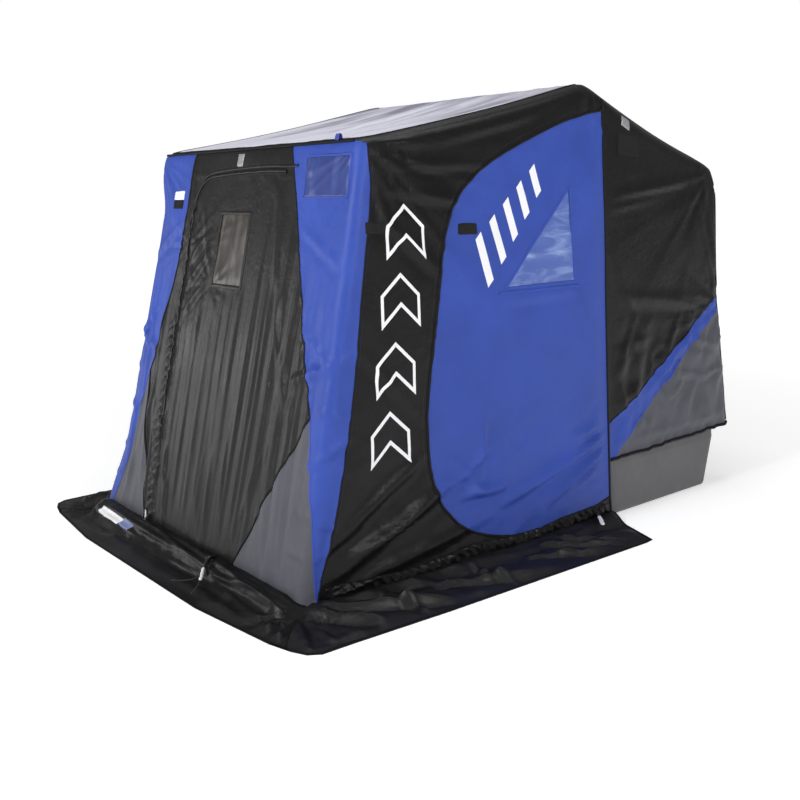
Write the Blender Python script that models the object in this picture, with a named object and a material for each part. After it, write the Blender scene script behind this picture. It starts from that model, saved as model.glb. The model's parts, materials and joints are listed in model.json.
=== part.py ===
"""Flip-over ice fishing shelter: a moulded sled, four telescoping bows on one
hub axis each side, and a fabric tent with three doors. Metres, +Z up, the
front of the tent faces -Y and the sled lies across X at the back."""
import math

import bmesh
import bpy
import numpy as np
from mathutils import Matrix, Vector
from mathutils.geometry import delaunay_2d_cdt

for old in list(bpy.data.objects):
    bpy.data.objects.remove(old, do_unlink=True)

# ---- driving dimensions; y is measured back from the tent's front foot ----
MID_Y = 1.276                       # half of the whole depth, for the origin
PROFILE = [(0.0, 0.0), (0.343, 1.725), (1.631, 2.03), (2.761, 1.684), (2.761, 1.05), (2.78, 0.31)]
FOOT_Z = 0.012                      # lower edge of the walls
HEM_Z = 0.285                       # lower edge of the rear walls, over the sled
WALL_FOOT = ([0.0, 0.3, 0.6, 1.2, 1.8, 2.78], [0.83, 0.851, 0.865, 0.868, 0.868, 0.885])
WALL_HIGH = ([0.0, 0.343, 1.63, 2.76], [0.775, 0.772, 0.762, 0.72])
HIGH_Z = 2.0                        # height at which WALL_HIGH is given
CLOTH = 0.003
GAP = 0.004                         # from a panel's edge to the panel over it
SEAM_Y = 1.776                      # seam behind the side doors

HUB = (1.76, 0.46)
ARM, ARM_BORE, LEG = 0.025, 0.0218, 0.021
ARM_TOP, OVERLAP, TAIL = 0.95, 0.12, 0.018
BOW_BEND = 0.10
BAR_INSET = 0.022
BOLT_D, BOLT_HOLE = 0.010, 0.0106
GROUND_BAR = (0.036, 0.035)
BOWS = {"ground": 0.812, "front": 0.768, "peak": 0.740, "rear": 0.712}   # x of each bow's legs

RIM_X, RIM_Y0, RIM_Y1, RIM_Z = 0.838, 1.70, 2.755, 0.38
BASE_X, BASE_Y0, BASE_Y1 = 0.848, 1.80, 2.64         # sled's bottom
SIDE_X, SIDE_Y0, SIDE_Y1, SIDE_Z = 0.846, 1.745, 2.735, 0.25   # where its walls lean in to the rim
FLANGE, FLANGE_T, TUB_IN, TUB_T, RUNNER = 0.040, 0.026, 0.006, 0.006, 0.006
SKIRT_T = 0.003
SEAT_X, SEAT_Y = 0.36, 2.20

COLOURS = {
    "fabric_black": ((0.022, 0.022, 0.024), 0.85, 0.0),
    "fabric_blue": ((0.045, 0.095, 0.38), 0.8, 0.0),
    "fabric_white": ((0.66, 0.66, 0.72), 0.75, 0.0),
    "window_vinyl": ((0.55, 0.60, 0.66), 0.12, 0.0),
    "tube_steel": ((0.045, 0.045, 0.05), 0.4, 0.6),
    "collar_plastic": ((0.03, 0.03, 0.03), 0.5, 0.0),
    "sled_plastic": ((0.115, 0.113, 0.12), 0.55, 0.0),
    "zinc_steel": ((0.55, 0.56, 0.58), 0.35, 1.0),
    "seat_vinyl": ((0.03, 0.03, 0.035), 0.5, 0.0),
}


def material(slot):
    found = bpy.data.materials.get(slot)
    if found:
        return found
    base, rough, metal = COLOURS[slot]
    found = bpy.data.materials.new(slot)
    found.use_nodes = True
    shader = found.node_tree.nodes["Principled BSDF"]
    shader.inputs["Base Color"].default_value = (*base, 1.0)
    shader.inputs["Roughness"].default_value = rough
    shader.inputs["Metallic"].default_value = metal
    return found


def finish(bm, name, slot, smooth=False):
    """Closes off a bmesh as a named object, faces out, moved to the row's origin."""
    bmesh.ops.recalc_face_normals(bm, faces=bm.faces)
    if bm.calc_volume(signed=True) < 0:
        bmesh.ops.reverse_faces(bm, faces=bm.faces)
    bmesh.ops.translate(bm, verts=bm.verts, vec=(0.0, -MID_Y, 0.0))
    mesh = bpy.data.meshes.new(name)
    bm.to_mesh(mesh)
    bm.free()
    obj = bpy.data.objects.new(name, mesh)
    bpy.context.scene.collection.objects.link(obj)
    obj.data.materials.append(material(slot))
    if smooth:
        obj.data.shade_smooth()
        obj.data.set_sharp_from_angle(angle=math.radians(35))
    return obj


def cut(obj, cutter, operation="DIFFERENCE"):
    cutter.hide_render = True
    cutter.display_type = "WIRE"
    step = obj.modifiers.new("cut", "BOOLEAN")
    step.operation, step.object, step.solver = operation, cutter, "EXACT"
    return obj


def box_bm(lo, hi, frame=None):
    bm = bmesh.new()
    bmesh.ops.create_cube(bm, size=1.0)
    for v in bm.verts:
        p = Vector([lo[i] + (v.co[i] + 0.5) * (hi[i] - lo[i]) for i in range(3)])
        v.co = frame @ p if frame else p
    return bm


def rod_bm(start, end, radius, sides=20):
    start, end = Vector(start), Vector(end)
    bm = bmesh.new()
    turn = (end - start).to_track_quat("Z", "Y").to_matrix().to_4x4()
    place = Matrix.Translation((start + end) / 2) @ turn
    bmesh.ops.create_cone(
        bm, cap_ends=True, segments=sides, radius1=radius, radius2=radius,
        depth=(end - start).length, matrix=place)
    return bm


def wall_x(y, z):
    """Half-width of the tent's side wall, outer face."""
    foot, high = np.interp(y, *WALL_FOOT), np.interp(y, *WALL_HIGH)
    return float(foot + (high - foot) * z / HIGH_Z)


def outward(a, b):
    d = Vector((b[0] - a[0], b[1] - a[1])).normalized()
    return Vector((-d.y, d.x))


def inset(i, depth):
    """The profile's corner i, moved in by depth from both of its sides."""
    p = Vector(PROFILE[i])
    n1, n2 = outward(PROFILE[i - 1], PROFILE[i]), outward(PROFILE[i], PROFILE[i + 1])
    both = Matrix(((n1.x, n1.y), (n2.x, n2.y)))
    return p + both.inverted() @ Vector((-depth, -depth))


def roof_z(y, depth=0.0):
    """Height of the roof's line at y, less depth."""
    ys = [PROFILE[i][0] for i in (1, 2, 3)]
    zs = [PROFILE[i][1] for i in (1, 2, 3)]
    return float(np.interp(y, ys, zs)) - depth


def covered(p, rings):
    """True where p is inside the outer ring and outside the others."""
    inside = False
    for ring in rings:
        for (ax, ay), (bx, by) in zip(ring, ring[1:] + ring[:1]):
            if (ay > p.y) != (by > p.y) and p.x < ax + (bx - ax) * (p.y - ay) / (by - ay):
                inside = not inside
    return inside


def panel(name, slot, rings, place, thick=CLOTH, step=0.3):
    """A sheet of cloth. rings are closed outlines in (u, v), the first the outer one and
    the others holes; place(u, v, depth) gives the point at that depth under the face."""
    points, edges = [], []
    for ring in rings:
        n0 = len(points)
        points += [Vector(p) for p in ring]
        edges += [(n0 + i, n0 + (i + 1) % len(ring)) for i in range(len(ring))]
    outer = np.array(rings[0], float)
    (u0, v0), (u1, v1) = outer.min(0), outer.max(0)
    rim = np.array([p for ring in rings for p in ring], float)
    for u in np.arange(u0 + step / 2, u1, step):
        for v in np.arange(v0 + step / 2, v1, step):
            if np.hypot(*(rim - (u, v)).T).min() > 0.35 * step:
                points.append(Vector((u, v)))
    flat, _, tris, *_ = delaunay_2d_cdt(points, edges, [], 0, 1e-6)
    tris = [t for t in tris if covered(sum((flat[i] for i in t), Vector((0, 0))) / 3, rings)]
    used = sorted({i for t in tris for i in t})
    index = {k: n for n, k in enumerate(used)}
    bm = bmesh.new()
    top = [bm.verts.new(place(flat[k].x, flat[k].y, 0.0)) for k in used]
    low = [bm.verts.new(place(flat[k].x, flat[k].y, thick)) for k in used]
    sides = {}
    for t in tris:
        a = [index[i] for i in t]
        bm.faces.new([top[i] for i in a])
        bm.faces.new([low[i] for i in reversed(a)])
        for i in range(len(a)):
            e = (a[i], a[(i + 1) % len(a)])
            if (e[1], e[0]) in sides:
                del sides[(e[1], e[0])]
            else:
                sides[e] = True
    for i, j in sides:
        bm.faces.new((top[j], top[i], low[i], low[j]))
    return finish(bm, name, slot)


def side_place(sign):
    return lambda y, z, d: Vector((sign * (wall_x(y, z) - d), y, z))


FRONT_SLOPE = PROFILE[1][0] / PROFILE[1][1]
FRONT_OUT = outward(PROFILE[0], PROFILE[1])


def front_place(x, z, d):
    return Vector((x, FRONT_SLOPE * z - FRONT_OUT.x * d, z - FRONT_OUT.y * d))


def front_half(z):
    """Half-width of the front wall at height z."""
    return wall_x(FRONT_SLOPE * z, z)


def strip_place(i):
    """Places (x, share) on the panel from the profile's corner i to the next."""
    a, b = Vector(PROFILE[i]), Vector(PROFILE[i + 1])
    n = outward(a, b)

    def place(x, share, d):
        p = a + (b - a) * share - n * d
        return Vector((x, p.x, p.y))
    return place


def strip_ring(i, first, last, steps=4):
    """Outline of that panel between the two shares, as wide as the walls."""
    a, b = Vector(PROFILE[i]), Vector(PROFILE[i + 1])
    shares = np.linspace(first, last, steps)
    half = [(wall_x(*(a + (b - a) * s)), s) for s in shares]
    return [(x, s) for x, s in half] + [(-x, s) for x, s in reversed(half)]


def offset_ring(ring, d):
    """The ring moved inwards by d, for counter-clockwise rings."""
    p = [Vector(q) for q in ring]
    moved = []
    for i, q in enumerate(p):
        e1, e2 = (q - p[i - 1]).normalized(), (p[(i + 1) % len(p)] - q).normalized()
        n1, n2 = Vector((-e1.y, e1.x)), Vector((-e2.y, e2.x))
        n = (n1 + n2).normalized()
        moved.append(tuple(q + n * (d / max(0.3, n.dot(n1)))))
    return moved


def arc(cx, cy, r, a0, a1, steps):
    return [(cx + r * math.cos(math.radians(a)), cy + r * math.sin(math.radians(a)))
            for a in np.linspace(a0, a1, steps + 1)]


# ---- bows ----
def bow_spec(name):
    """Bar centre, angle from the front up, and reach of a bow at rest."""
    bar = {"ground": Vector(GROUND_BAR), "front": inset(1, BAR_INSET),
           "peak": inset(2, BAR_INSET), "rear": inset(3, BAR_INSET)}[name]
    dy, dz = HUB[0] - bar.x, bar.y - HUB[1]
    return bar, math.atan2(dz, dy), math.hypot(dy, dz)


def bow_frame(angle):
    """Columns: across, along the legs, and out of the bow's plane."""
    along = Vector((0.0, -math.cos(angle), math.sin(angle)))
    across = Vector((1.0, 0.0, 0.0))
    m = Matrix.Identity(4)
    for i, axis in enumerate((across, along, across.cross(along))):
        m.col[i][:3] = axis
    m.translation = Vector((0.0, HUB[0], HUB[1]))
    return m


def swept_bar(path, width, frame):
    """A solid square bar swept along a path in its own plane, mitred at each bend."""
    bm = bmesh.new()
    h, rows = width / 2, []
    pts = [Vector(p) for p in path]
    for i, p in enumerate(pts):
        d1 = (p - pts[i - 1]).normalized() if i else None
        d2 = (pts[i + 1] - p).normalized() if i + 1 < len(pts) else None
        d1, d2 = d1 or d2, d2 or d1
        n1, n2 = Vector((-d1.y, d1.x)), Vector((-d2.y, d2.x))
        n = (n1 + n2).normalized()
        n = n * (h / n.dot(n1))
        corners = [(p + n, -h), (p + n, h), (p - n, h), (p - n, -h)]
        rows.append([bm.verts.new(frame @ Vector((q.x, q.y, w))) for q, w in corners])
    for a, b in zip(rows, rows[1:]):
        for k in range(4):
            bm.faces.new((a[k], a[(k + 1) % 4], b[(k + 1) % 4], b[k]))
    bm.faces.new(rows[0])
    bm.faces.new(rows[-1])
    return bm


def build_bow(name, x):
    _, angle, reach = bow_spec(name)
    frame = bow_frame(angle)
    for side, sx in (("R", x), ("L", -x)):
        h, b = ARM / 2, ARM_BORE / 2
        arm = finish(box_bm((sx - h, -TAIL, -h), (sx + h, ARM_TOP, h), frame),
                     f"{name}_arm_{side}", "tube_steel")
        cut(arm, finish(box_bm((sx - b, 0.022, -b), (sx + b, ARM_TOP + 0.05, b), frame),
                        f"cut_bore_{name}_{side}", "tube_steel"))
        hole = rod_bm((sx - 0.03, HUB[0], HUB[1]), (sx + 0.03, HUB[0], HUB[1]), BOLT_HOLE / 2)
        cut(arm, finish(hole, f"cut_pivot_{name}_{side}", "tube_steel"))
        c, g = 0.0165, ARM / 2 + 0.0003
        collar = finish(box_bm((sx - c, ARM_TOP - 0.045, -c), (sx + c, ARM_TOP - 0.001, c), frame),
                        f"{name}_collar_{side}", "collar_plastic")
        cut(collar, finish(box_bm((sx - g, ARM_TOP - 0.06, -g), (sx + g, ARM_TOP + 0.02, g), frame),
                           f"cut_collar_{name}_{side}", "collar_plastic"))
    r, foot = BOW_BEND, ARM_TOP - OVERLAP
    path = ([(x, foot)] + arc(x - r, reach - r, r, 0, 90, 6)
            + arc(-x + r, reach - r, r, 90, 180, 6) + [(-x, foot)])
    finish(swept_bar(path, LEG, frame), f"{name}_bow", "tube_steel")


for bow, bow_x in BOWS.items():
    build_bow(bow, bow_x)


# ---- sled ----
def rounded_ring(bm, half_x, y0, y1, radius, z, steps=5):
    ring = []
    for cx, cy, a in ((half_x - radius, y1 - radius, 0), (-half_x + radius, y1 - radius, 90),
                      (-half_x + radius, y0 + radius, 180), (half_x - radius, y0 + radius, 270)):
        ring += [bm.verts.new((*p, z)) for p in arc(cx, cy, radius, a, a + 90, steps)]
    return ring


def build_sled():
    bm = bmesh.new()
    low, t = RIM_Z - FLANGE_T, TUB_T

    def rim(by, radius, z):
        return RIM_X - by, RIM_Y0 + by, RIM_Y1 - by, radius, z

    def base(by, radius, z):
        return BASE_X + by, BASE_Y0 - by, BASE_Y1 + by, radius, z

    rings = [
        base(-0.006, 0.045, RUNNER), base(0.0, 0.05, RUNNER + 0.012),
        (SIDE_X, SIDE_Y0, SIDE_Y1, 0.09, SIDE_Z), rim(TUB_IN, 0.10, low - 0.006),
        rim(0.0, 0.112, low + 0.006), rim(0.0, 0.112, RIM_Z - 0.006), rim(0.006, 0.108, RIM_Z),
        rim(FLANGE, 0.085, RIM_Z), rim(FLANGE, 0.085, low), rim(TUB_IN + t, 0.09, low - 0.02),
        (SIDE_X - t, SIDE_Y0 + t, SIDE_Y1 - t, 0.085, SIDE_Z),
        base(-t, 0.045, RUNNER + 0.026), base(-0.018, 0.040, RUNNER + t)]
    rows = [rounded_ring(bm, *r) for r in rings]
    for a, b in zip(rows, rows[1:]):
        n = len(a)
        for k in range(n):
            bm.faces.new((a[k], a[(k + 1) % n], b[(k + 1) % n], b[k]))
    bm.faces.new(rows[0])
    bm.faces.new(rows[-1])
    tub = finish(bm, "sled_tub", "sled_plastic", smooth=True)
    for n, y in enumerate((1.93, 2.205, 2.48)):
        runner = box_bm((-0.70, y - 0.03, 0.0), (0.70, y + 0.03, RUNNER + 0.002))
        cut(tub, finish(runner, f"add_runner_{n}", "sled_plastic"), "UNION")


build_sled()


def build_hub(side, s):
    def span(a, b):
        return (a, b) if s > 0 else (-b, -a)
    base_z = RIM_Z + 0.0004
    lo, hi = span(0.682, 0.797)
    plate = finish(box_bm((lo, 1.712, base_z), (hi, 1.798, base_z + 0.005)),
                   f"hub_bracket_{side}", "zinc_steel")
    for n, (a, b) in enumerate(((0.690, 0.6955), (0.7845, 0.790))):
        lo, hi = span(a, b)
        cut(plate, finish(box_bm((lo, 1.738, base_z + 0.003), (hi, 1.782, HUB[1] + 0.022)),
                          f"add_ear_{side}_{n}", "zinc_steel"), "UNION")
    hole = rod_bm((s * 0.67, *HUB), (s * 0.81, *HUB), BOLT_HOLE / 2)
    cut(plate, finish(hole, f"cut_hub_{side}", "zinc_steel"))
    bolt = finish(rod_bm((s * 0.681, *HUB), (s * 0.8265, *HUB), BOLT_D / 2, 24),
                  f"hub_bolt_{side}", "zinc_steel", smooth=True)
    cut(bolt, finish(rod_bm((s * 0.8253, *HUB), (s * 0.8325, *HUB), 0.009, 6),
                     f"add_head_{side}", "zinc_steel"), "UNION")
    cut(bolt, finish(rod_bm((s * 0.679, *HUB), (s * 0.6875, *HUB), 0.009, 6),
                     f"add_nut_{side}", "zinc_steel"), "UNION")


# ---- side walls: y, z outlines ----
DOOR = [(1.772, 0.185), (1.772, 1.906), (1.62, 1.884), (1.468, 1.854), (1.251, 1.775),
        (1.016, 1.675), (0.905, 1.603), (0.815, 1.522), (0.756, 1.420), (0.722, 1.286),
        (0.686, 1.031), (0.648, 0.716), (0.646, 0.555), (0.668, 0.400), (0.730, 0.290),
        (0.844, 0.215), (0.992, 0.165), (1.179, 0.144), (1.379, 0.148), (1.592, 0.166)]
SIDE_WINDOW = [(1.078, 1.140), (1.530, 1.146), (1.499, 1.558)]


def build_side(side, s):
    place = side_place(s)
    low, high = inset(1, GAP), inset(2, GAP)
    front_y = FRONT_SLOPE * FOOT_Z + GAP / 0.98
    back_y = SEAM_Y - 0.001
    hole = offset_ring(DOOR, -0.002)
    # the C round the door: up its front, then back along the roof
    ring = [(front_y, FOOT_Z), (back_y, FOOT_Z), (back_y, hole[0][1] - 0.001)]
    ring += hole[:1:-1] + [(back_y, hole[1][1] + 0.001)]
    ring += [(back_y, roof_z(SEAM_Y, GAP * 1.1)), tuple(high), tuple(low)]
    panel(f"side_front_{side}", "fabric_black", [ring], place)
    window = offset_ring(SIDE_WINDOW, 0.0)
    panel(f"side_door_{side}", "fabric_blue", [offset_ring(DOOR[::-1], 0.0), window], place)
    panel(f"side_window_{side}", "window_vinyl", [offset_ring(SIDE_WINDOW, 0.0006)], place)
    corner, bend = inset(3, GAP), inset(4, GAP)
    rear = [(SEAM_Y, HEM_Z), (2.775, HEM_Z + 0.02), tuple(bend), tuple(corner),
            (SEAM_Y, roof_z(SEAM_Y, GAP * 1.1))]
    panel(f"side_rear_{side}", "fabric_black", [rear], place)


# ---- front wall: x, z outlines ----
DOOR_HALF, DOOR_LOW, DOOR_TOP, DOOR_R = 0.385, 0.075, 1.61, 0.15
STRIP = [(0.385, 1.7207), (0.405, 1.60), (0.445, 1.37), (0.495, 1.16), (0.56, 0.90),
         (0.64, 0.69), (0.69, 0.47), (0.735, 0.30), (0.775, FOOT_Z)]
FRONT_WINDOW = [(-0.125, 1.145), (0.100, 1.145), (0.100, 1.44), (-0.125, 1.44)]


def build_front():
    strip_in = [(x - 0.0006, z) for x, z in STRIP]
    half, top, r = DOOR_HALF, DOOR_TOP, DOOR_R
    arch = arc(half - r, top - r, r, 0, 90, 5) + arc(-half + r, top - r, r, 90, 180, 5)
    ring = ([(x, z) for x, z in strip_in[::-1]] + [(-x, z) for x, z in strip_in]
            + [(-half, FOOT_Z)] + arch[::-1] + [(half, FOOT_Z)])
    panel("front_panel", "fabric_black", [ring[::-1]], front_place)
    for side, s in (("R", 1), ("L", -1)):
        edge = [(front_half(z) - 0.0005, z) for _, z in STRIP]
        strip = [(s * x, z) for x, z in STRIP] + [(s * x, z) for x, z in edge[::-1]]
        panel(f"corner_panel_{side}", "fabric_blue", [strip], front_place)
    door = [(-half + 0.002, DOOR_LOW), (half - 0.002, DOOR_LOW)]
    door += [(x * (half - 0.002) / half, z - 0.002) for x, z in arch]
    panel("front_door", "fabric_black", [door, FRONT_WINDOW], front_place)
    panel("front_window", "window_vinyl", [offset_ring(FRONT_WINDOW, 0.0006)], front_place)
    sill = [(-half + 0.002, FOOT_Z), (half - 0.002, FOOT_Z),
            (half - 0.002, DOOR_LOW - 0.002), (-half + 0.002, DOOR_LOW - 0.002)]
    panel("front_sill", "fabric_black", [sill], front_place)


# ---- skirt on the ice ----
def skirt_place(x, y, d):
    """Down from the walls to the ice over a hand's width."""
    to_wall = max(abs(x) - wall_x(max(y, 0.0), 0.03), -y)
    return Vector((x, y, 0.028 * max(0.0, 1.0 - to_wall / 0.12) + SKIRT_T - d))


def build_skirts():
    g = 0.0015
    front = [(-0.83, -g), (-1.045, -0.148), (-0.925, -0.182), (-0.70, -0.2285), (0.0, -0.227),
             (0.70, -0.2285), (0.925, -0.182), (1.045, -0.148), (0.83, -g)]
    panel("skirt_front", "fabric_black", [front], skirt_place, SKIRT_T, 0.1)
    inner = [(wall_x(y, 0.03) + g, y) for y in (0.0, 0.15, 0.3, 0.6, 1.2, 1.70)]
    outer = [(0.880, 1.79), (1.172, 1.676), (1.178, 1.62), (1.154, 1.0), (1.134, 0.464),
             (1.109, 0.05), (1.103, -0.100), (1.049, -0.147)]
    for side, s in (("R", 1), ("L", -1)):
        ring = [(s * x, y) for x, y in inner + outer]
        ring[-1] = (s * 1.049, -0.147)
        panel(f"skirt_side_{side}", "fabric_black", [ring], skirt_place, SKIRT_T, 0.1)


# ---- swivel seats ----
def build_seat(side, s):
    x, y, floor = s * SEAT_X, SEAT_Y, RUNNER + TUB_T + 0.0004
    post = finish(rod_bm((x, y, floor), (x, y, 0.272), 0.024, 24),
                  f"seat_post_{side}", "tube_steel", smooth=True)
    cut(post, finish(rod_bm((x, y, floor), (x, y, floor + 0.006), 0.085, 32),
                     f"add_foot_{side}", "tube_steel"), "UNION")
    pan = finish(box_bm((x - 0.20, y - 0.19, 0.2725), (x + 0.20, y + 0.20, 0.290)),
                 f"seat_pan_{side}", "collar_plastic")
    for n, k in enumerate((-1, 1)):
        ear = box_bm((x + k * 0.175 - 0.006, y + 0.17, 0.285), (x + k * 0.175 + 0.006, y + 0.20, 0.352))
        cut(pan, finish(ear, f"add_pan_ear_{side}_{n}", "collar_plastic"), "UNION")
    pin = rod_bm((x - 0.19, y + 0.185, 0.338), (x + 0.19, y + 0.185, 0.338), 0.0043, 16)
    cut(pan, finish(pin, f"cut_pan_pin_{side}", "collar_plastic"))
    cushion = finish(box_bm((x - 0.165, y - 0.185, 0.2905), (x + 0.165, y + 0.145, 0.338)),
                     f"seat_cushion_{side}", "seat_vinyl")
    step = cushion.modifiers.new("round", "BEVEL")
    step.width, step.segments, step.limit_method = 0.012, 3, "ANGLE"
    back = finish(box_bm((x - 0.155, y + 0.182, 0.352), (x + 0.155, y + 0.208, 0.66)),
                  f"seat_back_{side}", "seat_vinyl")
    step = back.modifiers.new("round", "BEVEL")
    step.width, step.segments, step.limit_method = 0.010, 3, "ANGLE"
    pin = rod_bm((x - 0.188, y + 0.185, 0.338), (x + 0.188, y + 0.185, 0.338), 0.004, 16)
    cut(back, finish(pin, f"add_back_pin_{side}", "seat_vinyl"), "UNION")
    for n, k in enumerate((-1, 1)):
        strap = box_bm((x + k * 0.13 - 0.008, y + 0.178, 0.331), (x + k * 0.13 + 0.008, y + 0.192, 0.37))
        cut(back, finish(strap, f"add_back_strap_{side}_{n}", "seat_vinyl"), "UNION")


# ---- roof, rear and small parts ----
def build_roof():
    run = [math.dist(PROFILE[i], PROFILE[i + 1]) for i in range(5)]
    panel("roof_front", "fabric_white", [strip_ring(1, 0.0, 1 - 0.002 / run[1])], strip_place(1), step=2)
    panel("roof_rear", "fabric_white", [strip_ring(2, 0.002 / run[2], 1.0)], strip_place(2), step=2)
    a, b, c = (Vector(PROFILE[i]) for i in (3, 4, 5))
    first = GAP / run[3]

    def place(x, share, d):
        if share <= 1.0:
            p = a + (b - a) * share
            return Vector((x, p.x - d, p.y))
        p = b + (c - b) * (share - 1.0)
        return Vector((x, p.x - d, p.y))
    half = [(wall_x(*(a + (b - a) * s)), s) for s in (first, 0.5, 1.0)]
    half += [(wall_x(*(b + (c - b) * s)), 1.0 + s) for s in (0.5, 1.0)]
    ring = [(x, s) for x, s in half] + [(-x, s) for x, s in reversed(half)]
    panel("rear_panel", "fabric_black", [ring], place, step=3)


def build_zip():
    z0, z1 = 0.082, 0.118
    p0, p1 = (front_place(-DOOR_HALF - 0.0065, z, -0.0022) for z in (z0, z1))
    up = (p1 - p0).normalized()
    frame = Matrix.Identity(4)
    for i, axis in enumerate((Vector((1, 0, 0)), up, Vector((1, 0, 0)).cross(up))):
        frame.col[i][:3] = axis
    frame.translation = p0
    body = finish(box_bm((-0.006, 0.0, -0.0017), (0.006, 0.018, 0.0045), frame),
                  "front_zip_slider", "zinc_steel")
    cut(body, finish(box_bm((-0.0035, 0.006, 0.003), (0.0035, 0.050, 0.0062), frame),
                     "add_zip_tab", "zinc_steel"), "UNION")


build_front()
build_roof()
build_skirts()
build_zip()
for end, sign in (("R", 1), ("L", -1)):
    build_hub(end, sign)
    build_side(end, sign)
    build_seat(end, sign)
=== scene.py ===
"""Looks of the flip-over ice fishing shelter: tent cloth, windows, trim, seats and
sled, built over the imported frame. The tent's own coordinates are x across, y back
from the front wall's foot and z up, in metres. The frame's y is MID_Y less."""
import json
import math

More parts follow.
